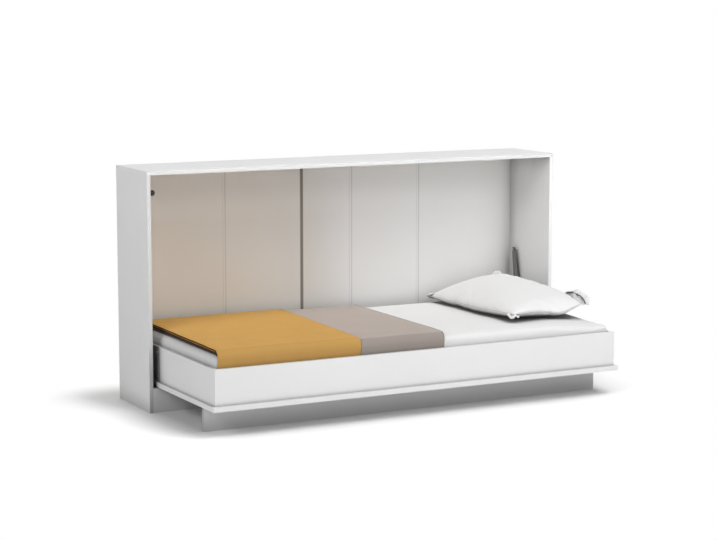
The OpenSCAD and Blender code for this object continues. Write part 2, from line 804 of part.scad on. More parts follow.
module pillow() {
    n = pillow_n;
    m = n + 1;
    upper = [for (i = [0 : n]) for (j = [0 : n]) pillow_point(i, j, true)];
    inner = [for (i = [1 : n - 1]) for (j = [1 : n - 1]) pillow_point(i, j, false)];
    function low_index(i, j) = i == 0 || j == 0 || i == n || j == n
        ? i * m + j : m * m + (i - 1) * (n - 1) + j - 1;
    top = [
        for (i = [0 : n - 1]) for (j = [0 : n - 1])
            let (a = i * m + j, b = a + m)
            for (t = [[a, a + 1, b + 1], [a, b + 1, b]]) t
    ];
    bottom = [
        for (i = [0 : n - 1]) for (j = [0 : n - 1])
            let (a = low_index(i, j), b = low_index(i + 1, j))
            let (c = low_index(i, j + 1), d = low_index(i + 1, j + 1))
            for (t = [[a, b, c], [b, d, c]]) t
    ];
    x = mattress_l / 2 - pillow_end - pillow_w / 2;
    y = mattress_rear - pillow_rear - pillow_l / 2;
    color([0.95, 0.95, 0.94]) place() translate([x, y, lie_z])
        polyhedron(concat(upper, inner), concat(top, bottom));
}

// Seats of the foot hinges' screws: those in the base panel point up, those in the foot point forward
module foot_leaf_screw_places() {
    for (x = foot_hinge_x) for (s = [-1, 1])
        translate([x + s * leaf_screw_off, foot_axis_y + leaf_l - leaf_screw_in, under_z - leaf_t])
            rotate([180, 0, 0]) children();
}

module foot_board_screw_places() {
    for (x = foot_hinge_x) for (s = [-1, 1])
        translate([x + s * leaf_screw_off, foot_back_y + leaf_t, foot_axis_z - leaf_l + leaf_screw_in])
            rotate([-90, 0, 0]) children();
}

module leaf_screw() {
    cylinder(h = screw_head_t, r = screw_head_r);
    translate([0, 0, -leaf_screw_l]) cylinder(h = leaf_screw_l, r = screw_r);
}

module knuckle(x0, x1) rod_x(x0, x1, knuckle_r, foot_axis_y, foot_axis_z);

module hinge_bore(x) {
    rod_x(x - hinge_w, x + hinge_w, hinge_pin_r + run_gap, foot_axis_y, foot_axis_z);
}

module foot_hinge_upper_leaves() {
    color(STEEL) place() difference() {
        for (x = foot_hinge_x) difference() {
            union() {
                for (s = [-1, 1]) {
                    xa = x + s * (hinge_w / 2 - outer_knuckle_l);
                    xb = x + s * hinge_w / 2;
                    knuckle(min(xa, xb), max(xa, xb));
                    board(
                        [min(xa, xb), foot_axis_y, under_z - leaf_t],
                        [max(xa, xb), foot_axis_y + knuckle_r + 2 * cut, under_z]
                    );
                }
                board(
                    [x - hinge_w / 2, foot_axis_y + knuckle_r + cut, under_z - leaf_t],
                    [x + hinge_w / 2, foot_axis_y + leaf_l, under_z]
                );
            }
            hinge_bore(x);
        }
        foot_leaf_screw_places() screw_hole();
    }
}

module foot_board() {
    end_x = panel_l / 2 - foot_end;
    color(WHITE) place() difference() {
        board([-end_x, foot_back_y - foot_t, 0], [end_x, foot_back_y, under_z - foot_gap]);
        foot_board_screw_places() screw_hole();
    }
}

module foot_hinge_lower_leaves() {
    color(STEEL) place() difference() {
        for (x = foot_hinge_x) difference() {
            union() {
                knuckle(x - middle_knuckle_l / 2, x + middle_knuckle_l / 2);
                board(
                    [x - middle_knuckle_l / 2, foot_back_y, foot_axis_z - knuckle_r - 2 * cut],
                    [x + middle_knuckle_l / 2, foot_back_y + leaf_t, foot_axis_z]
                );
                board(
                    [x - hinge_w / 2, foot_back_y, foot_axis_z - leaf_l],
                    [x + hinge_w / 2, foot_back_y + leaf_t, foot_axis_z - knuckle_r - cut]
                );
            }
            hinge_bore(x);
        }
        foot_board_screw_places() screw_hole();
    }
}

module foot_hinge_pins() {
    color(STEEL) place() for (x = foot_hinge_x)
        rod_x(x - hinge_w / 2 - 0.5, x + hinge_w / 2 + 0.5, hinge_pin_r, foot_axis_y, foot_axis_z);
}

module foot_screws() color(STEEL) place() foot_board_screw_places() leaf_screw();

// Turns a strut, drawn down -Z from its upper pivot, to its place
module strut_place(side) {
    place() on_side(side) translate([strut_x, anchor_y, anchor_z]) rotate([-strut_tilt, 0, 0]) children();
}

// The cylinder: an eye, a cover that widens downwards, and the bore that the piston runs in
module strut_cylinder(side) {
    color([0.16, 0.16, 0.17]) strut_place(side) difference() {
        union() {
            rod_x(-eye_t / 2, eye_t / 2, eye_r, 0, 0);
            rotate_extrude() polygon([
                [0, -eye_r + 3], [cover_top_r - 3, -eye_r + 3], [cover_top_r, -eye_r],
                [cover_r, -cover_taper], [cover_r, -cylinder_l + 4], [cover_r - 4, -cylinder_l],
                [0, -cylinder_l]
            ]);
        }
        rod_x(-cover_r, cover_r, stud_r + run_gap, 0, 0);
        for (s = [-1, 1])
            translate([s * (eye_t / 2 + cover_r), 0, 0])
                cube([2 * cover_r, 4 * eye_r, 2 * stud_r + 8], center = true);
        rotate_extrude() polygon([
            [0, -cylinder_l + gland_l], [piston_r + run_gap, -cylinder_l + gland_l],
            [piston_r + run_gap, -bore_top], [0, -bore_top]
        ]);
        translate([0, 0, -cylinder_l - cut]) cylinder(h = gland_l + 2 * cut, r = rod_r + run_gap);
    }
}

module strut_cylinder_left() strut_cylinder(LEFT);
module strut_cylinder_right() strut_cylinder(RIGHT);

// The rod, with its piston inside the cylinder and its eye beside the stud on the bed
module strut_rod(side) {
    color([0.70, 0.71, 0.73]) strut_place(side) difference() {
        union() {
            translate([0, 0, -strut_l]) cylinder(h = rod_inside + 22, r = rod_r);
            translate([0, 0, -strut_l + rod_inside + 22 - piston_t]) cylinder(h = piston_t, r = piston_r);
            rod_x(-eye_t / 2, eye_t / 2, eye_r - 1, 0, -strut_l);
        }
        rod_x(-eye_r, eye_r, stud_r + run_gap, 0, -strut_l);
    }
}

module strut_rod_left() strut_rod(LEFT);
module strut_rod_right() strut_rod(RIGHT);

side_panel_left();
side_panel_right();
top_panel();
plinth();
for (i = [0 : 4]) back_panel(i);
joint_strips();
centre_joint_strip();
wall_rail();
carcase_dowels();
pivot_bracket_left();
pivot_bracket_right();
pivot_bush_left();
pivot_bush_right();
strut_anchor_left();
strut_anchor_right();
catch_bracket();
catch_buffer();
cabinet_screws();
base_panel();
front_rail();
rear_rail();
end_rail_left();
end_rail_right();
batten_front();
batten_rear();
for (i = [0 : slat_count - 1]) slat(i);
hinge_plate_left();
hinge_plate_right();
pivot_pin_left();
pivot_pin_right();
bed_dowels();
bed_screws();
mattress();
throw_ochre();
throw_taupe();
pillow();
foot_hinge_upper_leaves();
foot_board();
foot_hinge_lower_leaves();
foot_hinge_pins();
foot_screws();
strut_cylinder_left();
strut_cylinder_right();
strut_rod_left();
strut_rod_right();
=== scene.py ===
import json
import math

import bpy
import numpy as np
from mathutils import Matrix, Vector, noise


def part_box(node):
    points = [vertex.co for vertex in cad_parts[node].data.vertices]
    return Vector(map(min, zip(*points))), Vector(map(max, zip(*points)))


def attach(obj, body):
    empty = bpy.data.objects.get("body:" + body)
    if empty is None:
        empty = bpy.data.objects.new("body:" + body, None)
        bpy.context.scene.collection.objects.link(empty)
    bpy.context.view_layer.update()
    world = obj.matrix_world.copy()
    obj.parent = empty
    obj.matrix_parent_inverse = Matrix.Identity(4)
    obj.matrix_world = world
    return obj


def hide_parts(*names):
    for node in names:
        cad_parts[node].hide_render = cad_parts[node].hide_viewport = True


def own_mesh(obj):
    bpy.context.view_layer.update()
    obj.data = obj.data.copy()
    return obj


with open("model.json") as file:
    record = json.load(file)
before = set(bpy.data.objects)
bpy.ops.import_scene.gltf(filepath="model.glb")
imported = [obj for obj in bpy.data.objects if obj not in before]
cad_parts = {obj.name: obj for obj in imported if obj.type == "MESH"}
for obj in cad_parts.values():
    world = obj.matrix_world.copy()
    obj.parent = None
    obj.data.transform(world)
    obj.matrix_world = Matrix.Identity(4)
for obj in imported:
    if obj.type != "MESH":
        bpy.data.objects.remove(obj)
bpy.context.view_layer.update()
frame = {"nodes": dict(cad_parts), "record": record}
nodes = frame["nodes"]


# Camera

CAMERA_AT = (-4.3206, -8.0458, 1.8774)
CAMERA_AHEAD = (0.46165, 0.87613, -0.13888)
LENS = 99.83
SENSOR = 36
CLIP_END = 60

forward = Vector(CAMERA_AHEAD).normalized()
right = forward.cross(Vector((0, 0, 1))).normalized()
up = right.cross(forward)
cam_data = bpy.data.cameras.new("camera")
cam_data.sensor_width = SENSOR
cam_data.lens = LENS
cam_data.clip_end = CLIP_END
camera = bpy.data.objects.new("camera", cam_data)
camera_turn = Matrix((right, up, -forward)).transposed().to_4x4()
camera.matrix_world = Matrix.Translation(CAMERA_AT) @ camera_turn
bpy.context.collection.objects.link(camera)
bpy.context.scene.camera = camera

# Node helpers

RANGE_SOCKETS = ("From Min", "From Max", "To Min", "To Max")
MIX_FACTOR, MIX_A, MIX_B, MIX_OUT = 0, 6, 7, 2
# The middle part of a noise's range, wider and narrower, and the open air from a corner to a free face, over
# which painted shade fades out
SOFT = (0.3, 0.7)
CLOUD = (0.35, 0.65)
CORNER_AIR = (0.25, 0.90)


def grey(level):
    return (level, level, level)


def tint(color, k):
    """The colour times k, with no channel over 1."""
    return tuple(min(1.0, c * k) for c in color)


class Net:
    """A material's nodes, with short calls that make and join them."""

    def __init__(self, name, color, rough, specular=0.5, metallic=0.0):
        self.mat = bpy.data.materials.new(name)
        self.mat.use_nodes = True
        self.mat.diffuse_color = (*color, 1)
        self.tree = self.mat.node_tree
        self.out = self.tree.nodes["Material Output"]
        self.bsdf = self.tree.nodes["Principled BSDF"]
        self.bsdf.inputs["Base Color"].default_value = (*color, 1)
        self.bsdf.inputs["Roughness"].default_value = rough
        self.bsdf.inputs["Specular IOR Level"].default_value = specular
        self.bsdf.inputs["Metallic"].default_value = metallic
        self.pos = None

    def node(self, kind, **values):
        """A new node, with its properties and sockets set by name."""
        n = self.tree.nodes.new(kind)
        for key, value in values.items():
            if hasattr(n, key):
                setattr(n, key, value)
            else:
                n.inputs[key].default_value = value
        return n

    def link(self, a, b):
        self.tree.links.new(a, b)

    def feed(self, socket, value):
        """Join a socket to another, or set it to a number or a colour."""
        if isinstance(value, bpy.types.NodeSocket):
            self.link(value, socket)
        elif isinstance(value, tuple):
            socket.default_value = (*value, 1)
        else:
            socket.default_value = value

    def place(self):
        """Where a point lies in the object's own frame."""
        if self.pos is None:
            self.pos = self.node("ShaderNodeTexCoord").outputs["Object"]
        return self.pos

    def axis(self, k):
        n = self.node("ShaderNodeSeparateXYZ")
        self.link(self.place(), n.inputs[0])
        return n.outputs[k]

    def stretched(self, scale=(1, 1, 1)):
        n = self.node("ShaderNodeMapping", Scale=scale)
        self.link(self.place(), n.inputs["Vector"])
        return n.outputs["Vector"]

    def noise(self, scale, detail=3.0, rough=0.55, stretch=(1, 1, 1), distort=0.0):
        n = self.node("ShaderNodeTexNoise", Scale=scale, Detail=detail, Roughness=rough, Distortion=distort)
        self.link(self.stretched(stretch), n.inputs["Vector"])
        return n.outputs["Fac"]

    def wave(self, scale, direction, distort, detail, detail_scale):
        n = self.node("ShaderNodeTexWave", wave_type="BANDS", bands_direction=direction,
                      Scale=scale, Distortion=distort, Detail=detail)
        n.inputs["Detail Scale"].default_value = detail_scale
        self.link(self.stretched(), n.inputs["Vector"])
        return n.outputs["Fac"]

    def math(self, op, a, b=0.5, clamp=False):
        n = self.node("ShaderNodeMath", operation=op, use_clamp=clamp)
        self.feed(n.inputs[0], a)
        self.feed(n.inputs[1], b)
        return n.outputs[0]

    def span(self, value, a, b, c=0.0, d=1.0):
        """The value, carried from between a and b to between c and d, and held there."""
        n = self.node("ShaderNodeMapRange", clamp=True)
        self.link(value, n.inputs["Value"])
        for key, limit in zip(RANGE_SOCKETS, (a, b, c, d)):
            n.inputs[key].default_value = limit
        return n.outputs["Result"]

    def mix(self, factor, a, b):
        """From a to b by the factor. Each may be a socket or a colour."""
        n = self.node("ShaderNodeMix", data_type="RGBA")
        self.feed(n.inputs[MIX_FACTOR], factor)
        self.feed(n.inputs[MIX_A], a)
        self.feed(n.inputs[MIX_B], b)
        return n.outputs[MIX_OUT]

    def uneven(self, color, scale, detail, low, high):
        """The colour, wandering softly between a low and a high share of it."""
        return self.mix(self.span(self.noise(scale, detail), *SOFT), tint(color, low), tint(color, high))

    def color(self, socket):
        self.link(socket, self.bsdf.inputs["Base Color"])

    def rough(self, socket):
        self.link(socket, self.bsdf.inputs["Roughness"])

    def gloss(self, scale, detail, low, high):
        """A roughness that wanders between low and high."""
        self.rough(self.span(self.noise(scale, detail), *SOFT, low, high))

    def painted_shade(self, tone, reach, depth):
        """Painted shade: the tone, darkened down to a share of it in corners and under parts with little open
        air within reach.
        """
        open_air = self.node("ShaderNodeAmbientOcclusion", samples=8, Distance=reach)
        return self.mix(self.span(open_air.outputs["AO"], *CORNER_AIR, depth, 1.0), grey(0), tone)

    def bump(self, height, strength, distance):
        """A bump on top of those that are there already."""
        n = self.node("ShaderNodeBump", Strength=strength, Distance=distance)
        self.link(height, n.inputs["Height"])
        normal = self.bsdf.inputs["Normal"]
        if normal.is_linked:
            self.link(normal.links[0].from_socket, n.inputs["Normal"])
        self.link(n.outputs["Normal"], normal)


# Boards

# A face of a board is the axis that it stands across and the side that it looks to
FRONT, UPPER, LOWER, LEFT, RIGHT = (1, -1), (2, 1), (2, -1), (0, -1), (0, 1)
BANDED = {
    "side_panel_left": (FRONT,),
    "side_panel_right": (FRONT,),
    "top_panel": (FRONT,),
    "plinth": (UPPER,),
    "wall_rail": (UPPER,),
    "base_panel": (FRONT, LEFT, RIGHT),
    "front_rail": (UPPER,),
    "rear_rail": (UPPER,),
    "end_rail_left": (UPPER,),
    "end_rail_right": (UPPER,),
    "foot_board": (LOWER, LEFT, RIGHT),
}
WHITE = grey(0.835)
# How far a board looks for open air, and the share of its tone that is left in its darkest corners, as
# painted shade
BOARD_SHADE_REACH = 0.11
BOARD_SHADE_DEPTH = 0.28
BOARD_SHADE_DEPTHS = {"foot_board": 0.85, "plinth": 0.5, "side_panel_right": 0.5, "side_panel_left": 0.4,
                "front_rail": 0.12}
BAND_TONE = 0.985
# Darker bands on these boards: painted shade on their edges
PAINTED_BAND_SHADES = {"side_panel_left": 0.75, "top_panel": 0.83, "foot_board": 0.55}
# The foot board is painted darker at its lower edge and lighter at its top: painted shade and painted light
PAINTED_SHADE_RUNS = {"foot_board": (0.64, 1.19)}
# Where the glued band ends below its face, and the hair line behind it
BAND_FROM = 0.0009
BAND_FULL = 0.0006
HAIR_AT = 0.00105
HAIR_SHARPNESS = 2400
HAIR_SHARE = 0.35
HAIR_TONE = 0.72


def board(name, color, edges, depth, band, run):
    """White melamine board. Its given edge faces carry a glued band, with a hair line and a tone of its own,
    darker on some boards as painted shade. A run, where there is one, is painted shade and light: the share
    of the tone at the board's lower edge and at its top. Its corners get painted shade."""
    m = Net("board_" + name, color, 0.5, 0.3)
    low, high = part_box(name)
    if run:
        tone = m.mix(m.span(m.axis(2), low[2], high[2]), tint(color, run[0]), tint(color, run[1]))
    else:
        tone = m.mix(m.span(m.noise(3.1, 4, 0.6), *CLOUD), tint(color, 0.988), tint(color, 1.012))
    for axis, side in edges:
        p = m.axis(axis)
        at = (high if side > 0 else low)[axis]
        away = m.math("ABSOLUTE", m.math("SUBTRACT", p, at - side * HAIR_AT))
        hair = m.math("SUBTRACT", 1.0, m.math("MULTIPLY", away, HAIR_SHARPNESS), clamp=True)
        tone = m.mix(m.span(p, at - side * BAND_FROM, at - side * BAND_FULL), tone, tint(color, band))
        tone = m.mix(m.math("MULTIPLY", hair, HAIR_SHARE), tone, tint(color, HAIR_TONE))
    m.color(m.painted_shade(tone, BOARD_SHADE_REACH, depth))
    m.gloss(38, 4, 0.47, 0.54)
    m.bump(m.noise(900, 2, 0.6), 0.10, 0.0002)
    return m.mat


# Back wall and the strips over its seams

WARM = (0.622, 0.560, 0.490)
MIDDLE = (0.600, 0.573, 0.535)
COOL = (0.680, 0.668, 0.658)
PALE = (0.752, 0.750, 0.742)
# The back wall's tone at places along X
WALL_TONES = {-1.05: WARM, -0.1: MIDDLE, 0.12: COOL, 0.8: PALE}
# Painted light: the wall grows paler towards the top, where the top panel's shade falls
WALL_PAINTED_LIGHT = (0.88, 0.86, 0.83)
PAINTED_LIGHT_FROM = 0.80
PAINTED_LIGHT_TO = 1.04
PAINTED_LIGHT_SHARE = 0.55
CLOUD_SHARE = 0.05
# How far the wall looks for open air, and the share of its tone left in its darkest corners: painted shade
WALL_SHADE_REACH = 0.09
WALL_SHADE_DEPTH = 0.74


def wall_net(name):
    m = Net(name, MIDDLE, 0.5, 0.35)
    m.gloss(30, 3, 0.44, 0.56)
    return m


def wall_tone(m):
    """The back wall's tone, which runs from warm grey at the left to white at the right, with painted light
    that makes it paler at the top.
    """
    x = m.axis(0)
    places = sorted(WALL_TONES)
    tone = WALL_TONES[places[0]]
    for a, b in zip(places, places[1:]):
        tone = m.mix(m.span(x, a, b), tone, WALL_TONES[b])
    tone = m.mix(m.span(m.axis(2), PAINTED_LIGHT_FROM, PAINTED_LIGHT_TO, 0.0, PAINTED_LIGHT_SHARE), tone, WALL_PAINTED_LIGHT)
    return m.mix(m.math("MULTIPLY", m.noise(2.4, 4), CLOUD_SHARE), tone, tint(WARM, 0.9))


def back_wall(name):
    """Thin back wall, satin, with painted light at its top and painted shade in its corners."""
    m = wall_net(name)
    m.color(m.painted_shade(wall_tone(m), WALL_SHADE_REACH, WALL_SHADE_DEPTH))
    m.bump(m.noise(700, 2), 0.08, 0.0002)
    return m.mat


def seam(k):
    """Where back panel k meets the next one."""
    return (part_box("back_panel_%d" % k)[1][0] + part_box("back_panel_%d" % (k + 1))[0][0]) / 2


def seam_strip(name, panels, half_width, line, share):
    """The strips over the right seams of the given panels: the wall's tone with its painted light, a darker
    middle line, and painted shade in corners.
    """
    m = wall_net(name)
    tone = wall_tone(m)
    x = m.axis(0)
    for k in panels:
        off = m.math("ABSOLUTE", m.math("SUBTRACT", x, seam(k)))
        tone = m.mix(m.span(off, half_width * 0.6, half_width, share, 0.0), tone, line)
    m.color(m.painted_shade(tone, WALL_SHADE_REACH, WALL_SHADE_DEPTH))
    return m.mat


# Wood, metal and plastic


def beech(name, color):
    m = Net(name, color, 0.6, 0.35)
    grain = m.noise(9, 6, 0.65, (0.35, 14, 14), 0.6)
    pores = m.noise(60, 4, 0.7, (0.5, 16, 16))
    tone = m.mix(m.span(grain, *SOFT), tint(color, 0.82), tint(color, 1.12))
    m.color(m.mix(m.span(pores, 0.62, 0.72, 0, 0.5), tone, tint(color, 0.5)))
    m.rough(m.span(grain, *SOFT, 0.66, 0.52))
    m.bump(grain, 0.25, 0.0004)
    m.bump(pores, 0.12, 0.0002)
    return m.mat


def metal(name, color, rough, brushed):
    """Bare metal, brushed along Z or plain."""
    m = Net(name, color, rough, 0.5, 1.0)
    fine = m.noise(60, 4, 0.7, (1, 1, 24) if brushed else (1, 1, 1))
    m.color(m.uneven(color, 14, 3, 0.9, 1.08))
    m.rough(m.span(fine, 0.25, 0.75, max(0.04, rough - 0.09), rough + 0.12))
    m.bump(fine, 0.05, 0.0002)
    return m.mat


def powder_coat(name, color, rough):
    m = Net(name, color, rough, 0.5)
    m.color(m.uneven(color, 20, 4, 0.85, 1.25))
    m.gloss(90, 3, rough - 0.08, rough + 0.08)
    m.bump(m.noise(1500, 2), 0.25, 0.0002)
    return m.mat


def plastic(name, color, rough):
    m = Net(name, color, rough, 0.5)
    m.color(m.uneven(color, 16, 3, 0.95, 1.05))
    m.gloss(50, 3, rough - 0.07, rough + 0.07)
    m.bump(m.noise(1100, 2), 0.10, 0.0002)
    return m.mat


COVER = grey(0.10)
# The painted highlight down the strut's middle: where it fades across the width, and how much lighter it is
PAINTED_HIGHLIGHT = (0.05, 0.40)
PAINTED_HIGHLIGHT_SHARE = 0.6


def strut_cover(node):
    """Dark sheet-metal cover of a gas strut, with a painted highlight down its middle."""
    m = Net("cover_" + node, COVER, 0.45, 0.5)
    low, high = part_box(node)
    off = m.math("ABSOLUTE", m.math("SUBTRACT", m.span(m.axis(1), low[1], high[1]), 0.5))
    highlight = m.span(off, *PAINTED_HIGHLIGHT, PAINTED_HIGHLIGHT_SHARE, 0.0)
    m.color(m.mix(highlight, m.uneven(COVER, 20, 4, 0.9, 1.1), tint(COVER, 1.25)))
    m.gloss(90, 3, 0.38, 0.52)
    m.bump(m.noise(1500, 2), 0.2, 0.0002)
    return m.mat


MATERIALS = {
    "zinc_steel": metal("zinc_steel", (0.60, 0.61, 0.63), 0.34, brushed=True),
    "chromed_rod": metal("chromed_rod", (0.72, 0.73, 0.74), 0.13, brushed=False),
    "black_steel": powder_coat("black_steel", grey(0.17), 0.5),
    "nylon": plastic("nylon", (0.72, 0.71, 0.66), 0.45),
    "black_rubber": plastic("black_rubber", grey(0.018), 0.7),
    "beech": beech("beech", (0.70, 0.52, 0.33)),
    "back_board": back_wall("back_wall"),
    "light_strip": seam_strip("light_strip", (1, 3, 4), 0.0035, (0.30, 0.28, 0.27), 0.38),
    "dark_strip": seam_strip("dark_strip", (2,), 0.0100, (0.16, 0.14, 0.122), 0.94),
}

# Cloths


def cloth(name, color, thread, bump, spread, slub, sheen, deep=None, pile=0.0, shade=(0.1, 1.0), fuzz=1.2):
    """Woven cloth: crossing threads, as many to the metre as thread says, thicker slubs, a soft sheen and
    uneven dye. Shade is the reach and the depth of the painted shade in its corners, fuzz how pale the sheen
    is."""
    m = Net(name, color, 0.92, 0.18)
    m.bsdf.inputs["Sheen Weight"].default_value = sheen
    m.bsdf.inputs["Sheen Roughness"].default_value = 0.5
    m.bsdf.inputs["Sheen Tint"].default_value = (*tint(color, fuzz), 1)
    warp, weft, upright = (m.wave(thread / math.pi, way, 1.2, 2, 3) for way in "XYZ")
    weave = m.math("MAXIMUM", m.math("MULTIPLY", warp, weft), m.math("MULTIPLY", upright, 0.6))
    hollow = m.math("SUBTRACT", 1.0, weave)
    thick, thin = (m.noise(90, 3, 0.6, stretch) for stretch in ((1, 7, 7), (7, 1, 7)))
    slubs = m.math("MULTIPLY", m.math("ADD", thick, thin), 0.5)
    tone = m.mix(m.span(m.noise(6.5, 4, 0.6), *SOFT), tint(color, 1 - spread), tint(color, 1 + spread))
    tone = m.mix(m.span(slubs, *CLOUD, 0.0, 0.30 * slub + 0.05), tone, tint(color, 1.16))
    tone = m.mix(m.math("MULTIPLY", hollow, 0.22), tone, deep or tint(color, 0.7))
    m.color(m.painted_shade(tone, *shade))
    m.rough(m.span(slubs, *SOFT, 0.86, 0.97))
    m.bump(weave, bump, 0.0004)
    m.bump(slubs, 0.4 * slub, 0.0006)
    if pile:
        m.bump(m.noise(320, 4, 0.75), pile, 0.0012)
    return m.mat


LINEN = {"thread": 1500, "bump": 0.18, "spread": 0.012, "slub": 0.15}
# The throws get painted shade where other parts crowd them, most near the back wall
THROW = {"bump": 0.5, "spread": 0.05, "sheen": 0.95, "shade": (0.30, 0.30)}
# Painted shade: the sheet darkens almost to black in its corners and under the pillow
SHEET = cloth("bed_linen", grey(0.80), sheen=0.25, deep=grey(0.69), shade=(0.13, 0.03), **LINEN)
# Darker copies of the linen for the sheet's front drop and its left end: painted shade
SHEET_FRONT_SHADED = cloth("bed_linen_front_shaded", grey(0.745), sheen=0.25, deep=grey(0.645), shade=(0.05, 0.85), **LINEN)
SHEET_END_SHADED = cloth("bed_linen_end_shaded", grey(0.74), sheen=0.4, deep=grey(0.64), shade=(0.05, 0.40), **LINEN)
# The pillow gets painted shade in its crevices, such as where the ruffle meets the body
PILLOW = cloth("pillow_cotton", grey(0.78), thread=1400, bump=0.18, spread=0.012, slub=0.2, sheen=0.2,
               deep=grey(0.71), shade=(0.035, 0.25))
# A near-black cord along the case's opening: painted shade for the shadow inside it
OPENING_SHADE = cloth("pillow_opening_shade", grey(0.07), thread=1400, bump=0.2, spread=0.05, slub=0.3, sheen=0.1)
# The mattress knit gets painted shade in its corners
TICKING = cloth("mattress_knit", grey(0.56), thread=500, bump=0.4, spread=0.06, slub=0.6, sheen=0.15,
                shade=(0.08, 0.35))
BRAID = cloth("mattress_braid", (0.74, 0.75, 0.75), thread=900, bump=0.6, spread=0.03, slub=0.4, sheen=0.1)
OCHRE = cloth("ochre_cotton", (0.495, 0.288, 0.088), thread=700, slub=0.7, deep=(0.35, 0.195, 0.05),
              pile=0.25, fuzz=1.45, **THROW)
TAUPE = cloth("taupe_wool", (0.295, 0.258, 0.235), thread=640, slub=0.8, deep=(0.215, 0.185, 0.168),
              pile=0.3, fuzz=2.4, **THROW)
# Near-black hem cords: the hems, made dark enough to also be painted shade in the gaps between the throw's
# layers
HEM_AND_GAP_SHADE = cloth("ochre_shaded_hem", (0.07, 0.031, 0.011), thread=900, bump=0.4, spread=0.08, slub=0.5, sheen=0.1)

# Materials of the rigid pieces

SOFT_NODES = ("mattress", "pillow", "throw_ochre", "throw_taupe")
EDGE_BEVEL = 0.0009
EDGE_ANGLE = math.radians(50)
slots = {s["node"]: s["material_slot"] for s in frame["record"]["subparts"]}


def node_material(name):
    if name in BANDED:
        return board(name, WHITE, BANDED[name], BOARD_SHADE_DEPTHS.get(name, BOARD_SHADE_DEPTH),
                     PAINTED_BAND_SHADES.get(name, BAND_TONE), PAINTED_SHADE_RUNS.get(name))
    if name.startswith("strut_cylinder"):
        return strut_cover(name)
    return MATERIALS[slots[name]]


def ease_edges(obj):
    """Break the sharp edges of a board."""
    bevel = obj.modifiers.new("edge", "BEVEL")
    bevel.width = EDGE_BEVEL
    bevel.segments = 2
    bevel.limit_method = "ANGLE"
    bevel.angle_limit = EDGE_ANGLE
    bevel.harden_normals = True


for name, obj in nodes.items():
    if name in SOFT_NODES:
        continue
    obj.data.materials.clear()
    obj.data.materials.append(node_material(name))
    if name in BANDED or slots[name] == "back_board":
        ease_edges(obj)

# Mesh helpers

TINY = 1e-9
RIM_STEPS = (-0.7071, 0.0, 0.7071)


def wave_noise(p, seed, scale):
    return noise.noise(Vector((p[0] * scale + seed * 7.31, p[1] * scale - seed * 3.17, p[2] * scale + seed)))


def unit(v):
    """The direction of a vector, or of each vector in an array."""
    return v / np.maximum(np.linalg.norm(v, axis=-1, keepdims=True), TINY)


def smooth(t):
    """From 0 to 1 with a soft start and end."""
    t = min(1.0, max(0.0, t))
    return t * t * (3 - 2 * t)


def build(name, points, faces, material, body="bed", smooth_shaded=True):
    mesh = bpy.data.meshes.new(name)
    mesh.from_pydata([tuple(map(float, p)) for p in points], [], [tuple(map(int, f)) for f in faces])
    mesh.update()
    mesh.validate()
    mesh.materials.append(material)
    for p in mesh.polygons:
        p.use_smooth = smooth_shaded
    obj = bpy.data.objects.new(name, mesh)
    bpy.context.collection.objects.link(obj)
    if body:
        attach(obj, body)
    return obj


def grid_faces(n, m, start=0, flip=False):
    out = []
    for i in range(n - 1):
        for j in range(m - 1):
            a = start + i * m + j
            q = (a, a + m, a + m + 1, a + 1)
            out.append(q[::-1] if flip else q)
    return out


def thick_sheet(mid, half):
    """Points and faces of a closed sheet round the grid of middle points, with round borders.
    mid is an array (n, m, 3), half the half thickness at each point."""
    n, m = mid.shape[:2]
    du = np.gradient(mid, axis=0)
    dv = np.gradient(mid, axis=1)
    normal = unit(np.cross(du, dv))
    h = half[..., None]
    upper, lower = mid + normal * h, mid - normal * h
    faces = grid_faces(n, m) + grid_faces(n, m, n * m, True)
    border = [(i, 0) for i in range(n)] + [(n - 1, j) for j in range(1, m)]
    border += [(i, m - 1) for i in range(n - 2, -1, -1)] + [(0, j) for j in range(m - 2, 0, -1)]
    rim = []
    for i, j in border:
        out = np.zeros(3)
        ways = ((i == 0, -du[i, j]), (i == n - 1, du[i, j]), (j == 0, -dv[i, j]), (j == m - 1, dv[i, j]))
        for at_edge, way in ways:
            if at_edge:
                out += unit(way)
        out = unit(out)
        for s in RIM_STEPS:
            rim.append(mid[i, j] + (out * math.sqrt(1 - s * s) - normal[i, j] * s) * half[i, j])
    count = 2 * n * m
    k = len(RIM_STEPS)
    rings = []
    for a, (i, j) in enumerate(border):
        rings.append([i * m + j] + [count + a * k + s for s in range(k)] + [n * m + i * m + j])
    for a, ring in enumerate(rings):
        following = rings[(a + 1) % len(rings)]
        for s in range(k + 1):
            faces.append((ring[s], ring[s + 1], following[s + 1], following[s]))
    return np.concatenate([upper.reshape(-1, 3), lower.reshape(-1, 3), np.array(rim)]), faces


def cord_section(line, side, other, radius, sides):
    """Rings of points round a line, where side and other span each ring."""
    return [line[i] + radius * (side[i] * math.cos(a) + other[i] * math.sin(a))
            for i in range(len(line)) for a in np.linspace(0, 2 * math.pi, sides, endpoint=False)]


def tube_parts(line, radius, sides=7):
    """Points and faces of a cord of round section along a line of points, with closed ends."""
    line = np.array(line)
    ahead = unit(np.gradient(line, axis=0))
    side = unit(np.cross(ahead, (1.0, 0.02, 0.03)))
    points = cord_section(line, side, np.cross(ahead, side), radius, sides)
    faces = []
    for i in range(0, (len(line) - 1) * sides, sides):
        for a in range(sides):
            b = (a + 1) % sides
            faces.append((i + a, i + b, i + sides + b, i + sides + a))
    last = (len(line) - 1) * sides
    faces += [tuple(range(sides)), tuple(last + a for a in reversed(range(sides)))]
    return points, faces


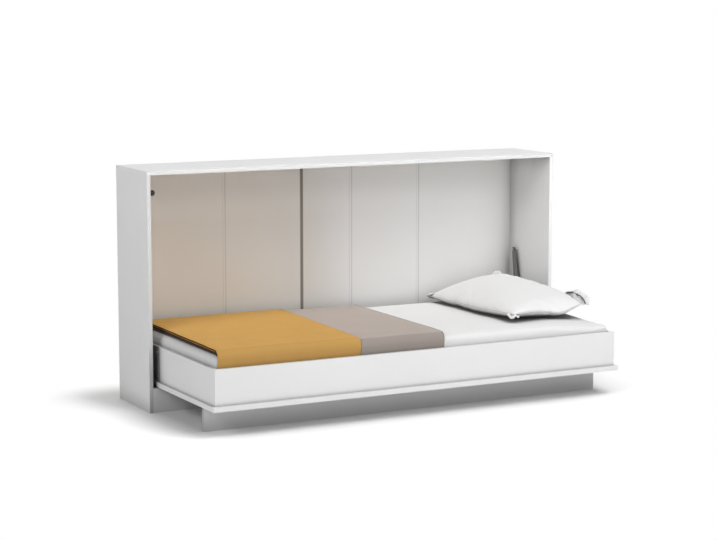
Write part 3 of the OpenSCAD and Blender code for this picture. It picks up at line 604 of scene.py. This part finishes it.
def ring_tube(line, radius, sides=6):
    """Points and faces of a cord round a closed line."""
    ahead = unit(np.roll(line, -1, 0) - np.roll(line, 1, 0))
    side = unit(np.cross(ahead, (0, 0, 1.0)))
    points = cord_section(line, side, np.cross(side, ahead), radius, sides)
    faces = []
    for i in range(len(line)):
        j = (i + 1) % len(line)
        for a in range(sides):
            b = (a + 1) % sides
            faces.append((i * sides + a, i * sides + b, j * sides + b, j * sides + a))
    return points, faces


# Mattress and its sheet

m_low, m_high = (np.array(c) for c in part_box("mattress"))
m_size = m_high - m_low
m_mid_y = (m_low[1] + m_high[1]) / 2
rail_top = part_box("front_rail")[1][2]
rail_in_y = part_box("front_rail")[1][1]

CORNER_R = 0.016
EDGE_R = 0.030
LEAST_R = 0.012
CROWN = 0.006
TICKING_PLAY = 0.003
TICKING_EDGES = (0.028, 0.024)
TICKING_STEP = 0.016
DROOP = 0.022
DROOP_FROM = 0.66
DROOP_RUN = 0.34
TICKING_GAP = 0.0022
TICKING_WAIST = 0.003
TICKING_DIP = 0.0016
BRAIDS = {"lower": (m_low[2] + 0.026, 0.0072), "upper": (m_high[2] - 0.034, 0.0085)}
BRAID_SECTION = (0.0035, 0.005)
BRAID_SIDES = 8


def droop(x, y):
    """How far the soft right end of the mattress hangs below the rest, most at its front corner."""
    return DROOP * smooth((x - DROOP_FROM) / DROOP_RUN) * (0.45 + 0.55 * smooth((0.05 - y) / 0.5))


def droop_share(z):
    """The share of the droop that a point at height z over the mattress's base follows."""
    return smooth((z / m_size[2] - 0.4) / 0.5)


def edge_profile(reach, h, edge_low, edge_high, crown, step):
    """The side of a soft box from its base up, and on over its crowned top: pairs of inset and height."""
    profile = [(edge_low * (1 - math.sin(a)), edge_low * (1 - math.cos(a)))
               for a in np.linspace(0, math.pi / 2, 6)]
    profile += [(0.0, z) for z in np.arange(edge_low + step, h - edge_high - step / 2, step)]
    profile += [(edge_high * (1 - math.cos(a)), h - edge_high + edge_high * math.sin(a))
                for a in np.linspace(0, math.pi / 2, 8)]
    inset = edge_high
    while inset < reach - step * 0.8:
        inset += step
        q = 1 - min(1.0, (inset - edge_high) / (reach * 0.5))
        profile.append((min(inset, reach - 0.002), h + crown * (1 - q * q)))
    return profile


def ring_points(hx, hy, r, nx, ny, per_corner=8):
    """The same number of points round every ring: corners, then the straight runs between them."""
    centres = [(hx - r, hy - r), (r - hx, hy - r), (r - hx, r - hy), (hx - r, r - hy)]
    out = []
    for c in range(4):
        for k in range(per_corner + 1):
            a = math.radians(90 * c + 90 * k / per_corner)
            out.append((centres[c][0] + r * math.cos(a), centres[c][1] + r * math.sin(a)))
        a = out[-1]
        following = centres[(c + 1) % 4]
        turn = math.radians(90 * ((c + 1) % 4))
        b = (following[0] + r * math.cos(turn), following[1] + r * math.sin(turn))
        n = nx if c % 2 == 0 else ny
        for k in range(1, n):
            out.append((a[0] + (b[0] - a[0]) * k / n, a[1] + (b[1] - a[1]) * k / n))
    return out


def soft_block(name, low, high, edge_low, edge_high, crown, material, shape, step, z_from=0.0):
    """A box with round corners and edges and a crowned top, each point moved by shape.
    It begins at z_from over its base, and is open below when that isn't 0."""
    hx, hy = (high[0] - low[0]) / 2, (high[1] - low[1]) / 2
    cx, cy = (high[0] + low[0]) / 2, (high[1] + low[1]) / 2
    profile = edge_profile(min(hx, hy), high[2] - low[2] - crown, edge_low, edge_high, crown, step)
    profile = [p for p in profile if p[1] >= z_from]
    nx, ny = int(2 * hx / step), int(2 * hy / step)
    points = []
    for inset, z in profile:
        r = max(CORNER_R - inset, LEAST_R * min(1, max(0.05, (hy - inset) / 0.1)))
        ring = ring_points(hx - inset, hy - inset, min(r, hy - inset, hx - inset), nx, ny)
        points += [shape(np.array((cx + x, cy + y, low[2] + z)), inset, z) for x, y in ring]
    m = len(ring)
    faces = []
    for i in range(len(profile) - 1):
        for j in range(m):
            k = (j + 1) % m
            faces.append((i * m + j, i * m + k, (i + 1) * m + k, (i + 1) * m + j))
    last = (len(profile) - 1) * m
    for j in range(-(ny // 2), (m - ny) // 2):
        strip = (j % m, (j + 1) % m, (m - ny - j - 1) % m, (m - ny - j) % m)
        faces.append(tuple(last + k for k in dict.fromkeys(strip)))
    if z_from <= 0:
        faces.append(tuple(reversed(range(m))))
    return build(name, points, faces, material)


def outward(p, reach):
    """Which sides of the mattress a point lies near, as -1, 0 or 1 along X and Y."""
    x = math.copysign(1, p[0]) if abs(p[0]) > m_high[0] - reach else 0
    y = math.copysign(1, p[1] - m_mid_y) if abs(p[1] - m_mid_y) > m_size[1] / 2 - reach else 0
    return np.array((x, y, 0.0))


def mattress_shape(p, inset, z):
    """The mattress inside its sheet: a slight waist, uneven faces and a soft right end."""
    h = z / m_size[2]
    if inset < 0.03:
        waist = TICKING_WAIST * math.sin(math.pi * min(1, max(0, h)))
        p = p - outward(p, 0.06) * (waist + TICKING_GAP)
    p = p + np.array((0, 0, 0.0006 * wave_noise(p, 3, 9)))
    p[2] -= TICKING_DIP if h > 0.5 else 0
    p[2] -= droop(p[0], p[1]) * droop_share(z)
    return p


mattress = soft_block("mattress_body", m_low + [TICKING_PLAY, TICKING_PLAY, 0], m_high - TICKING_PLAY,
                      *TICKING_EDGES, CROWN, TICKING, mattress_shape, TICKING_STEP)
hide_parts("mattress")


def braid(name, z, inset):
    """The taped edge that runs round the mattress."""
    ring = ring_points(m_size[0] / 2 - inset, m_size[1] / 2 - inset, LEAST_R, 90, 44)
    points, faces = [], []
    n, k = len(ring), BRAID_SIDES
    for i, (x, y) in enumerate(ring):
        x2, y2 = ring[(i + 1) % n]
        x0, y0 = ring[i - 1]
        t = Vector((x2 - x0, y2 - y0, 0)).normalized()
        out = Vector((t.y, -t.x, 0))
        level = z - droop(x, m_mid_y + y) * droop_share(z - m_low[2])
        for a in range(k):
            c = math.cos(2 * math.pi * a / k) * BRAID_SECTION[0]
            s = math.sin(2 * math.pi * a / k) * BRAID_SECTION[1]
            points.append((x + out.x * c, m_mid_y + y + out.y * c, level + s))
    for i in range(n):
        j = (i + 1) % n
        for a in range(k):
            b = (a + 1) % k
            faces.append((i * k + a, i * k + b, j * k + b, j * k + a))
    return build(name, points, faces, BRAID)


for label, (z, inset) in BRAIDS.items():
    tape = braid("mattress_braid_" + label, z, inset)

SHEET_LIFT = 0.0002
SHEET_THICK = 0.0012
SHEET_FROM = 0.055
SHEET_STEP = 0.014
FOLDS_ALL = 0.0004
FOLDS_CORNER = 0.0016
FOLDS_SIDE = 0.0007
CORNER_REACH = 0.30
SQUARE_SHARE = 0.5
SQUARE_X = 0.90
SQUARE_Z = 0.09
# How far in from the left end and the front the darker, painted-shade copies of the linen reach
SHADED_END_BAND = 0.02
SHADED_FRONT_BAND = 0.026
sheet_top = m_high[2] + SHEET_LIFT


def sheet_shape(p, inset, z):
    """The fitted sheet: pulled tight on top, with small folds at its corners and along its border.
    The upper edge of its right end is squarer than the others."""
    end_share = min(1.0, max(0.0, (abs(p[0]) - (m_high[0] - CORNER_REACH)) / CORNER_REACH))
    long_share = abs(p[1] - m_mid_y) / (m_size[1] / 2)
    near = end_share * min(1.0, max(0.0, (long_share - 0.5) / 0.5))
    side = 1.0 if inset < 0.02 else 0.0
    amp = FOLDS_ALL + FOLDS_CORNER * near + FOLDS_SIDE * side
    fold = wave_noise((p[0] * (1 if side else 2.2), p[1] * 1.4, p[2] * 0.35), 11, 16)
    soft = wave_noise(p, 8, 4)
    push = amp * fold + 0.0003 * wave_noise(p, 5, 45)
    if inset < 0.028:
        p = p + unit(outward(p, 0.056)) * (push - 0.0006)
    if inset > 0.008:
        p = p + np.array((0, 0, push * min(1, inset / 0.03) + 0.0010 * soft - 0.0004))
    square = SQUARE_SHARE * smooth((p[0] - SQUARE_X) / 0.08) * smooth((z - SQUARE_Z) / 0.04)
    p[2] += square * max(0.0, sheet_top - 0.004 - p[2])
    p[2] -= droop(p[0], p[1]) * droop_share(z)
    return p


linen = soft_block("fitted_sheet", m_low, np.array((m_high[0], m_high[1], sheet_top)), EDGE_R, EDGE_R, CROWN,
                   SHEET, sheet_shape, SHEET_STEP, SHEET_FROM)
linen.data.materials.append(SHEET_END_SHADED)
linen.data.materials.append(SHEET_FRONT_SHADED)
# The left end and the front drop take the darker linen copies: painted shade
for face in linen.data.polygons:
    if face.center[0] < m_low[0] + SHADED_END_BAND:
        face.material_index = 1
    elif face.center[1] < m_low[1] + SHADED_FRONT_BAND:
        face.material_index = 2
shell = linen.modifiers.new("thickness", "SOLIDIFY")
shell.thickness = SHEET_THICK
shell.offset = -1

# Throws

LIE = sheet_top + 0.0014
HANG_Z = rail_top - 0.011
TOP_PART = 0.90
ARC_PART = 0.06
HANG_PART = 0.04
ROWS = {"top": 64, "arc": 14, "hang": 7}
LAYER_FILL = 0.47
HANG_FILL = 0.46
HANG_GAP = 0.0006
LAYER_INSET = 0.003
FOLD_STEPS = 9
LAYER_POINTS = 64
LOOSE_END = 0.12
EDGE_DIP = 0.0016
REAR_DIP = 0.0012


def throw_path():
    """Where a throw runs, from the rear edge of the mattress over its front edge and down.
    Each row is its kind, how far through that stretch it is, and its place from 0 to 1 in all."""
    out = [("top", t, TOP_PART * t) for t in np.linspace(0, 1, ROWS["top"])]
    out += [("arc", t, TOP_PART + ARC_PART * t) for t in np.linspace(0, 1, ROWS["arc"] + 1)[1:]]
    start = TOP_PART + ARC_PART
    return out + [("hang", t, start + HANG_PART * t) for t in np.linspace(0, 1, ROWS["hang"] + 1)[1:]]


def lay(kind, t, h, rear):
    """The place and the outward direction of a point at height h over the mattress."""
    y_c, z_c = m_low[1] + EDGE_R, LIE - EDGE_R
    if kind == "top":
        return rear + (y_c - rear) * t, LIE + h, 0.0, 1.0
    if kind == "arc":
        a = math.pi / 2 * t
        r = EDGE_R + h
        return y_c - r * math.sin(a), z_c + r * math.cos(a), -math.sin(a), math.cos(a)
    return m_low[1] - h, z_c + (HANG_Z - z_c) * t, -1.0, 0.0


def throw(name, node, left, right_edge, height, material, seed):
    """A throw folded double along X, then laid over the front of the mattress.
    left and right_edge give X against the place along the path."""
    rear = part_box(node)[1][1] - 0.002
    pitch = height / 2
    room = (m_low[1] - rail_in_y - 0.0012) / 2
    mid, half = [], []
    for kind, t, s in throw_path():
        squeeze = {"top": 0.0, "arc": smooth(t), "hang": 1.0}[kind]
        low, high = (pitch * k * (1 - squeeze) + (HANG_GAP + room * k) * squeeze for k in (0.5, 1.5))
        thick = pitch * LAYER_FILL * (1 - squeeze) + room * HANG_FILL * squeeze
        bend = (high - low) / 2
        xl, xr = left(s), right_edge(s) - thick - bend
        xi = xl + LAYER_INSET
        run = [(xi + (xr - xi) * u, low, 0) for u in np.linspace(0, 1, LAYER_POINTS)]
        for k in range(1, FOLD_STEPS):
            a = math.pi * k / FOLD_STEPS
            run.append((xr + math.sin(a) * bend, (low + high) / 2 - math.cos(a) * bend, 0))
        run += [(xl + (xr - xl) * u, high, 1) for u in np.linspace(1, 0, LAYER_POINTS)]
        row = []
        for x, h, layer in run:
            y, z, ny, nz = lay(kind, t, h, rear)
            free = smooth(1 - (x - xl) / LOOSE_END)
            x += free * (0.0030 * wave_noise((0, s * 2.6, layer * 3.0), seed, 3.3)
                         + 0.0012 * wave_noise((0, s * 3, layer), seed + 6, 9))
            puff = 0.0
            if layer:
                spot = (x, y, 0)
                puff = 0.0009 * wave_noise(spot, seed + 2, 5) + 0.0005 * wave_noise(spot, seed + 4, 14)
                puff -= EDGE_DIP * math.exp(-max(min(x - xl, xr + bend - x), 0) / 0.010)
                puff -= REAR_DIP * math.exp(-s * 60)
            puff *= 1 - 0.8 * squeeze
            row.append((x, y + ny * puff, z + nz * puff))
        mid.append(row)
        half.append([thick] * len(row))
    mid = np.swapaxes(np.array(mid), 0, 1)
    half = np.swapaxes(np.array(half), 0, 1)
    obj = build(name, *thick_sheet(mid, half), material)
    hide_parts(node)
    return mid, half


def along(*stops):
    """A value against the place on the path, through stops given as (place, value)."""
    places, values = zip(*stops)
    return lambda s: float(np.interp(s, places, values))


# The throws' left and right borders
OCHRE_LEFT = along((0, -0.975), (0.9, -0.992), (1, -0.9985))
OCHRE_RIGHT = along((0, -0.268), (0.9, -0.304), (1, -0.316))
TAUPE_LEFT = along((0, -0.2665), (0.9, -0.3025), (1, -0.3145))
TAUPE_RIGHT = along((0, 0.132), (0.78, 0.130), (0.88, 0.124), (0.94, 0.114), (1, 0.110))
HEM_RADIUS = 0.0031
HEM_OUT = -0.85
HEM_LIFTS = {"lower": (0, -0.25), "upper": (-1, 0.62)}
HEM_ROWS = 72

ochre_mid, ochre_half = throw("ochre_throw", "throw_ochre", OCHRE_LEFT, OCHRE_RIGHT, 0.0175, OCHRE,
                              21)
throw("taupe_throw", "throw_taupe", TAUPE_LEFT, TAUPE_RIGHT, 0.0085, TAUPE, 33)

# Hem cords along the ochre throw's folded left edge, dark as painted shade between its layers
for label, (column, lift) in HEM_LIFTS.items():
    thick = ochre_half[column][:HEM_ROWS]
    edge_line = ochre_mid[column][:HEM_ROWS] + np.outer(thick, (HEM_OUT, 0, lift))
    hem = build("ochre_shaded_hem_" + label, *tube_parts(edge_line, HEM_RADIUS), HEM_AND_GAP_SHADE)

# Pillow

REST_Z = sheet_top + 0.0016
CORNER = {"front_left": (0.556, -0.336, 0.393), "front_right": (0.980, -0.283, 0.405),
          "back_left": (0.552, 0.428, 0.377), "back_right": (0.924, 0.380, 0.457)}
CORNER = {k: np.array(v) for k, v in CORNER.items()}
# How far the middle of each seam bows from the straight line between its corners
BOW = {"front": np.array((0.0, -0.020, 0.002)), "back": np.array((0.0, 0.004, 0.004)),
       "left": np.array((-0.050, 0.0, -0.007)), "right": np.array((0.040, 0.0, 0.014))}
SAG = 0.031
SAG_AT = 0.33
SAG_WIDTH = (0.50, 0.41)
CASE_SIZE = (0.50, 0.80)
CASE_CELLS = (50, 78)
CASE_BULGE = 0.016
BLOW_FRAMES = 30
FULLNESS = 0.42
BLOWN_PLACE = 0.38
BLOWN_HEIGHT = 0.4
CROWN_UP = 0.071
CROWN_DOWN = 0.062
SETTLE = 0.006
PIPING = 0.0021
RUFFLE_END = -0.50
RUFFLE_POINTS = 60
RUFFLE_TUCK = 0.003
RUFFLE_WAVES = 3.5
RUFFLE_AMP = 0.0085
RUFFLE_RIM = [(0.990, -0.110, 0.432), (1.000, -0.140, 0.446), (1.018, -0.180, 0.456), (1.036, -0.222, 0.443),
              (1.034, -0.262, 0.419), (1.006, -0.292, 0.400), (0.978, -0.286, 0.400)]
# Points of the near-black cord that is painted shade inside the case's opening
OPENING = [(0.990, -0.134, 0.439), (1.003, -0.174, 0.441), (1.006, -0.220, 0.434), (0.998, -0.262, 0.420),
           (0.986, -0.294, 0.409)]
OPENING_POINTS = 50
OPENING_RADIUS = 0.0030
OPENING_CRINKLE = 0.0045
EAR_GRID = (44, 10)
EAR_ROOTED = 0.014
EARS = (
    {"corner": CORNER["back_right"] + (-0.008, 0.000, 0.002), "ahead": (0.05, 0.55, 0.83), "length": 0.038,
     "width": 0.062, "root": 0.016, "folds": 1.0, "amp": 0.0080, "turn": 1.57, "curl": 0.004},
    {"corner": CORNER["front_left"] + (0.006, 0.010, -0.004), "ahead": (-0.25, -1.0, -0.30), "length": 0.036,
     "width": 0.056, "root": 0.018, "folds": 1.5, "amp": 0.0065, "turn": 0.4, "curl": -0.003, "thick": 0.003},
    {"corner": CORNER["back_left"] + (0.026, -0.010, 0.002), "ahead": (-0.9, 0.50, 0.04), "length": 0.056,
     "width": 0.050, "root": 0.030, "folds": 0.5, "amp": 0.0022, "turn": 0.2, "curl": -0.002, "thick": 0.0035,
     "roll": 0.55},
)


def full_height(grid):
    """The height of a plump case at every grid point, from -1 below to 1 above."""
    return np.clip((1 - grid[:, 0] ** 2) * (1 - grid[:, 1] ** 2), 0, 1) ** FULLNESS * grid[:, 2]


def sewn_sheets(nx, ny):
    """Two flat sheets sewn together all round. Gives the points, the faces, the grid place of
    every point and the points of the seam in order."""
    points, grid, index = [], [], {}
    for side in (1, -1):
        for i in range(nx + 1):
            for j in range(ny + 1):
                if side == -1 and (i in (0, nx) or j in (0, ny)):
                    index[side, i, j] = index[1, i, j]
                    continue
                u, v = 2 * i / nx - 1, 2 * j / ny - 1
                index[side, i, j] = len(points)
                bulge = CASE_BULGE * (1 - u ** 4) * (1 - v ** 4) + 0.0008 * wave_noise((u, v, side), 2, 2.5)
                points.append((u * CASE_SIZE[0] / 2, v * CASE_SIZE[1] / 2, side * bulge))
                grid.append((u, v, side))
    faces = []
    for side in (1, -1):
        for i in range(nx):
            for j in range(ny):
                q = [index[side, i + a, j + b] for a, b in ((0, 0), (1, 0), (1, 1), (0, 1))]
                faces.append(q if side == 1 else q[::-1])
    seam_line = [index[1, i, 0] for i in range(nx)] + [index[1, nx, j] for j in range(ny)]
    seam_line += [index[1, i, ny] for i in range(nx, 0, -1)] + [index[1, 0, j] for j in range(ny, 0, -1)]
    return points, faces, np.array(grid), seam_line


def blown_case(points, faces):
    """The case blown up by a cloth simulation. Gives every point's place, and its height
    as a share of the greatest."""
    obj = build("case", points, faces, PILLOW, body=None)
    mod = obj.modifiers.new("cloth", "CLOTH")
    s = mod.settings
    s.quality = 7
    s.mass = 0.25
    s.tension_stiffness = 22
    s.compression_stiffness = 22
    s.shear_stiffness = 8
    s.bending_stiffness = 0.35
    s.air_damping = 3
    s.use_pressure = True
    s.uniform_pressure_force = 3.2
    s.effector_weights.gravity = 0
    mod.collision_settings.use_self_collision = False
    mod.collision_settings.use_collision = False
    mod.point_cache.frame_start = 1
    mod.point_cache.frame_end = BLOW_FRAMES
    for f in range(1, BLOW_FRAMES + 1):
        bpy.context.scene.frame_set(f)
    done = obj.evaluated_get(bpy.context.evaluated_depsgraph_get())
    co = np.empty(len(done.data.vertices) * 3)
    done.data.vertices.foreach_get("co", co)
    co = co.reshape(-1, 3)
    bpy.context.scene.frame_set(1)
    bpy.data.objects.remove(obj)
    co -= (co.max(0) + co.min(0)) / 2
    return co[:, :2] / co[:, :2].max(0), co[:, 2] / co[:, 2].max()


def seam_patch(u, v):
    """The surface through the pillow's four bowed seams, at u and v from -1 to 1."""
    a, b = ((u + 1) / 2)[:, None], ((v + 1) / 2)[:, None]
    front = CORNER["front_left"] * (1 - a) + CORNER["front_right"] * a
    back = CORNER["back_left"] * (1 - a) + CORNER["back_right"] * a
    flat = front * (1 - b) + back * b
    width = np.where(u < SAG_AT, *SAG_WIDTH)
    flat[:, 2] -= SAG * np.exp(-((u - SAG_AT) / width) ** 2) * (1 - b[:, 0]) ** 3
    flat += 4 * a * (1 - a) * (BOW["front"] * (1 - b) + BOW["back"] * b)
    return flat + 4 * b * (1 - b) * (BOW["left"] * (1 - a) + BOW["right"] * a)


def ear(corner, ahead, length, width, root, folds, amp, turn, curl, thick=0.0024, roll=0.0):
    """The gathered cloth that stands out at a corner of the pillow, as a pleated fan with a round rim."""
    ahead = unit(np.array(ahead))
    across = unit(np.cross((0, 0, 1), ahead))
    normal = np.cross(ahead, across)
    across, normal = (across * math.cos(roll) + normal * math.sin(roll),
                      normal * math.cos(roll) - across * math.sin(roll))
    n, m = EAR_GRID
    mid = np.zeros((n, m, 3))
    for i in range(n):
        a = 2 * i / (n - 1) - 1
        phase = a * folds * math.pi + turn
        tip = (1 - 0.45 * abs(a) ** 3) * (0.78 + 0.22 * abs(math.cos(phase)) ** 0.5)
        for j in range(m):
            b = j / (m - 1)
            w = root + (width / 2 - root) * math.sin(b * math.pi / 2)
            lift = math.sin(phase) * amp * (0.35 + 0.65 * b) + curl * b * b
            mid[i, j] = corner + ahead * (b * length * tip - EAR_ROOTED) + across * (a * w) + normal * lift
    return thick_sheet(mid, np.full((n, m), thick))


def smooth_line(stops, count):
    """Evenly spaced points on a smooth line past the given places."""
    stops = np.array(stops)
    places = np.linspace(0, 1, len(stops))
    line = np.array([np.interp(np.linspace(0, 1, count), places, stops[:, k]) for k in range(3)]).T
    for _ in range(count // 5):
        line[1:-1] = (line[:-2] + 2 * line[1:-1] + line[2:]) / 4
    return line


def ruffle(seam_line, rim_line, waves, amp, thick=0.0022):
    """A loose, wavy band of cloth that stands between the pillow's seam and its own free rim."""
    n, m = len(seam_line), 9
    ahead = unit(np.gradient(rim_line, axis=0))
    mid = np.zeros((n, m, 3))
    for i in range(n):
        s = i / (n - 1)
        side = unit(np.cross(ahead[i], rim_line[i] - seam_line[i]))
        push = amp * math.sin(2 * math.pi * waves * s) * math.sin(math.pi * s) ** 0.5
        for j in range(m):
            b = j / (m - 1)
            mid[i, j] = seam_line[i] * (1 - b) + rim_line[i] * b + side * (push * b)
    return thick_sheet(mid, np.full((n, m), thick))


def pillow_body(grid, place, height):
    """The plump case, set on its bowed seams and settled on the sheet."""
    place = (1 - BLOWN_PLACE) * grid[:, :2] + BLOWN_PLACE * place
    height = BLOWN_HEIGHT * height + (1 - BLOWN_HEIGHT) * full_height(grid)
    plane = np.cross(CORNER["front_right"] - CORNER["front_left"], CORNER["back_left"] - CORNER["front_left"])
    way = (unit(plane) + np.array((0, 0, 1.0))) / 2
    puff = np.where(height > 0, height * CROWN_UP, height * CROWN_DOWN)
    out = seam_patch(place[:, 0], place[:, 1]) + puff[:, None] * way
    low = out[:, 2] - REST_Z
    out[:, 2] = REST_Z + np.where(low > SETTLE, low, SETTLE * np.exp(np.clip(low / SETTLE - 1, -20, 0)))
    return out


case_points, case_faces, grid, rim = sewn_sheets(*CASE_CELLS)
body = pillow_body(grid, *blown_case(case_points, case_faces))
parts = [(body, case_faces), ring_tube(body[rim], PIPING)]
parts += [ear(**values) for values in EARS]
right_seam = seam_patch(np.ones(RUFFLE_POINTS), np.linspace(RUFFLE_END, -1.0, RUFFLE_POINTS))
right_seam[:, 0] -= RUFFLE_TUCK
parts.append(ruffle(right_seam, smooth_line(RUFFLE_RIM, RUFFLE_POINTS), RUFFLE_WAVES, RUFFLE_AMP))
opening = smooth_line(OPENING, OPENING_POINTS)
opening[:, 2] += [OPENING_CRINKLE * wave_noise(p, 4, 85) for p in opening]
parts.append(tube_parts(opening, OPENING_RADIUS))

points, faces = [], []
for part_points, part_faces in parts:
    start = len(points)
    points += [tuple(p) for p in part_points]
    faces += [tuple(i + start for i in f) for f in part_faces]
pillow = build("pillow_cover", points, faces, PILLOW)
# The last part, the cord in the case's opening, takes the near-black painted-shade cloth
pillow.data.materials.append(OPENING_SHADE)
for face in pillow.data.polygons:
    face.material_index = 1 if face.vertices[0] >= start else 0
sub = pillow.modifiers.new("smooth", "SUBSURF")
sub.levels = 1
sub.render_levels = 1
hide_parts("pillow")
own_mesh(pillow)

# Floor

FLOOR_HALF = 14
FLOOR_TONE = 1.30
FLOOR_BOUNCE = 0.60
SHADE_REACH = 0.38
SHADE_LEVEL = 0.54
SHADE_AIR = 0.35
FADE = (0.08, 0.38)
FOOTPRINT = (*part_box("side_panel_right")[1][:2], 0.0)


def floor_material():
    """A pale floor that shows the object's shadow, deepened near the object by painted shadow, and is plain
    white away from it.
    """
    m = Net("floor", grey(0.8), 1.0)
    path = m.node("ShaderNodeLightPath")
    # Painted shadow: the floor darkens where the object leaves it little open air within reach
    near = m.node("ShaderNodeAmbientOcclusion", samples=16, Distance=SHADE_REACH)
    level = m.span(near.outputs["AO"], SHADE_AIR, 1.0, SHADE_LEVEL * FLOOR_TONE, FLOOR_TONE)
    diffuse = m.node("ShaderNodeBsdfDiffuse")
    m.link(m.mix(path.outputs["Is Camera Ray"], grey(FLOOR_BOUNCE), level), diffuse.inputs["Color"])
    glow = m.node("ShaderNodeEmission")
    far = m.node("ShaderNodeVectorMath", operation="ABSOLUTE")
    m.link(m.place(), far.inputs[0])
    for step, value in (("SUBTRACT", FOOTPRINT), ("MAXIMUM", (0, 0, 0)), ("LENGTH", None)):
        n = m.node("ShaderNodeVectorMath", operation=step)
        m.link(far.outputs["Vector"], n.inputs[0])
        if value:
            n.inputs[1].default_value = value
        far = n
    fade = m.span(far.outputs["Value"], *FADE)
    fade.node.interpolation_type = "SMOOTHSTEP"
    shade = m.node("ShaderNodeMixShader")
    m.link(m.math("MULTIPLY", fade, path.outputs["Is Camera Ray"]), shade.inputs[0])
    m.link(diffuse.outputs[0], shade.inputs[1])
    m.link(glow.outputs[0], shade.inputs[2])
    m.link(shade.outputs[0], m.out.inputs["Surface"])
    m.tree.nodes.remove(m.bsdf)
    return m.mat


floor_corners = [(x * FLOOR_HALF, y * FLOOR_HALF, 0) for x, y in ((-1, -1), (1, -1), (1, 1), (-1, 1))]
floor = build("floor", floor_corners, [(0, 1, 2, 3)], floor_material(), body=None, smooth_shaded=False)

# World and lamps

SKY_RUN = (0.25, 0.45, 0.55, 0.13)
WHITE_LIGHT = (1, 1, 1, 1)


def background(tree):
    n = tree.nodes.new("ShaderNodeBackground")
    n.inputs["Color"].default_value = WHITE_LIGHT
    n.inputs["Strength"].default_value = 1.0
    return n


def world_light():
    """A soft world that is weaker overhead. The camera and mirrors see plain white."""
    world = bpy.data.worlds.new("world")
    bpy.context.scene.world = world
    world.use_nodes = True
    tree = world.node_tree
    tree.nodes.clear()
    link = tree.links.new
    ray = tree.nodes.new("ShaderNodeTexCoord")
    ray_axes = tree.nodes.new("ShaderNodeSeparateXYZ")
    link(ray.outputs["Generated"], ray_axes.inputs[0])
    run = tree.nodes.new("ShaderNodeMapRange")
    for key, value in zip(RANGE_SOCKETS, SKY_RUN):
        run.inputs[key].default_value = value
    link(ray_axes.outputs["Z"], run.inputs["Value"])
    soft, seen = background(tree), background(tree)
    link(run.outputs["Result"], soft.inputs["Strength"])
    path = tree.nodes.new("ShaderNodeLightPath")
    direct = tree.nodes.new("ShaderNodeMath")
    direct.operation = "MAXIMUM"
    link(path.outputs["Is Camera Ray"], direct.inputs[0])
    link(path.outputs["Is Glossy Ray"], direct.inputs[1])
    mix = tree.nodes.new("ShaderNodeMixShader")
    link(direct.outputs[0], mix.inputs[0])
    link(soft.outputs[0], mix.inputs[1])
    link(seen.outputs[0], mix.inputs[2])
    out = tree.nodes.new("ShaderNodeOutputWorld")
    link(mix.outputs[0], out.inputs["Surface"])


def lamp(name, place, target, size, power, spread):
    data = bpy.data.lights.new(name, "AREA")
    data.shape = "RECTANGLE"
    data.size, data.size_y = size
    data.energy = power
    data.spread = math.radians(spread)
    obj = bpy.data.objects.new(name, data)
    obj.location = place
    obj.rotation_euler = (Vector(target) - Vector(place)).to_track_quat("-Z", "Y").to_euler()
    bpy.context.collection.objects.link(obj)


# Each lamp's place, target and size in metres, its power in watts and its spread in degrees
LAMPS = {
    "high": ((1.2, -2.6, 4.9), (0.1, 0.0, 0.4), (3.0, 1.6), 125, 180),
    "key": ((1.6, -4.2, 4.4), (0.1, 0.0, 0.4), (3.4, 1.6), 62, 180),
    "front": ((1.6, -5.4, 3.6), (0.1, 0.0, 0.5), (3.4, 1.2), 85, 180),
    "left": ((-5.0, -1.6, 3.3), (0.0, 0.0, 0.5), (2.4, 2.0), 107, 180),
    "behind": ((0.0, 5.4, 0.62), (0.0, 0.3, 0.55), (1.8, 0.7), 85, 180),
    "niche": ((0.0, -4.0, 0.99), (0.0, 0.5, 0.99), (3.4, 0.3), 1.1, 18),
}
world_light()
for name, values in LAMPS.items():
    lamp(name, *values)

scene = bpy.context.scene
scene.view_settings.view_transform = "Standard"
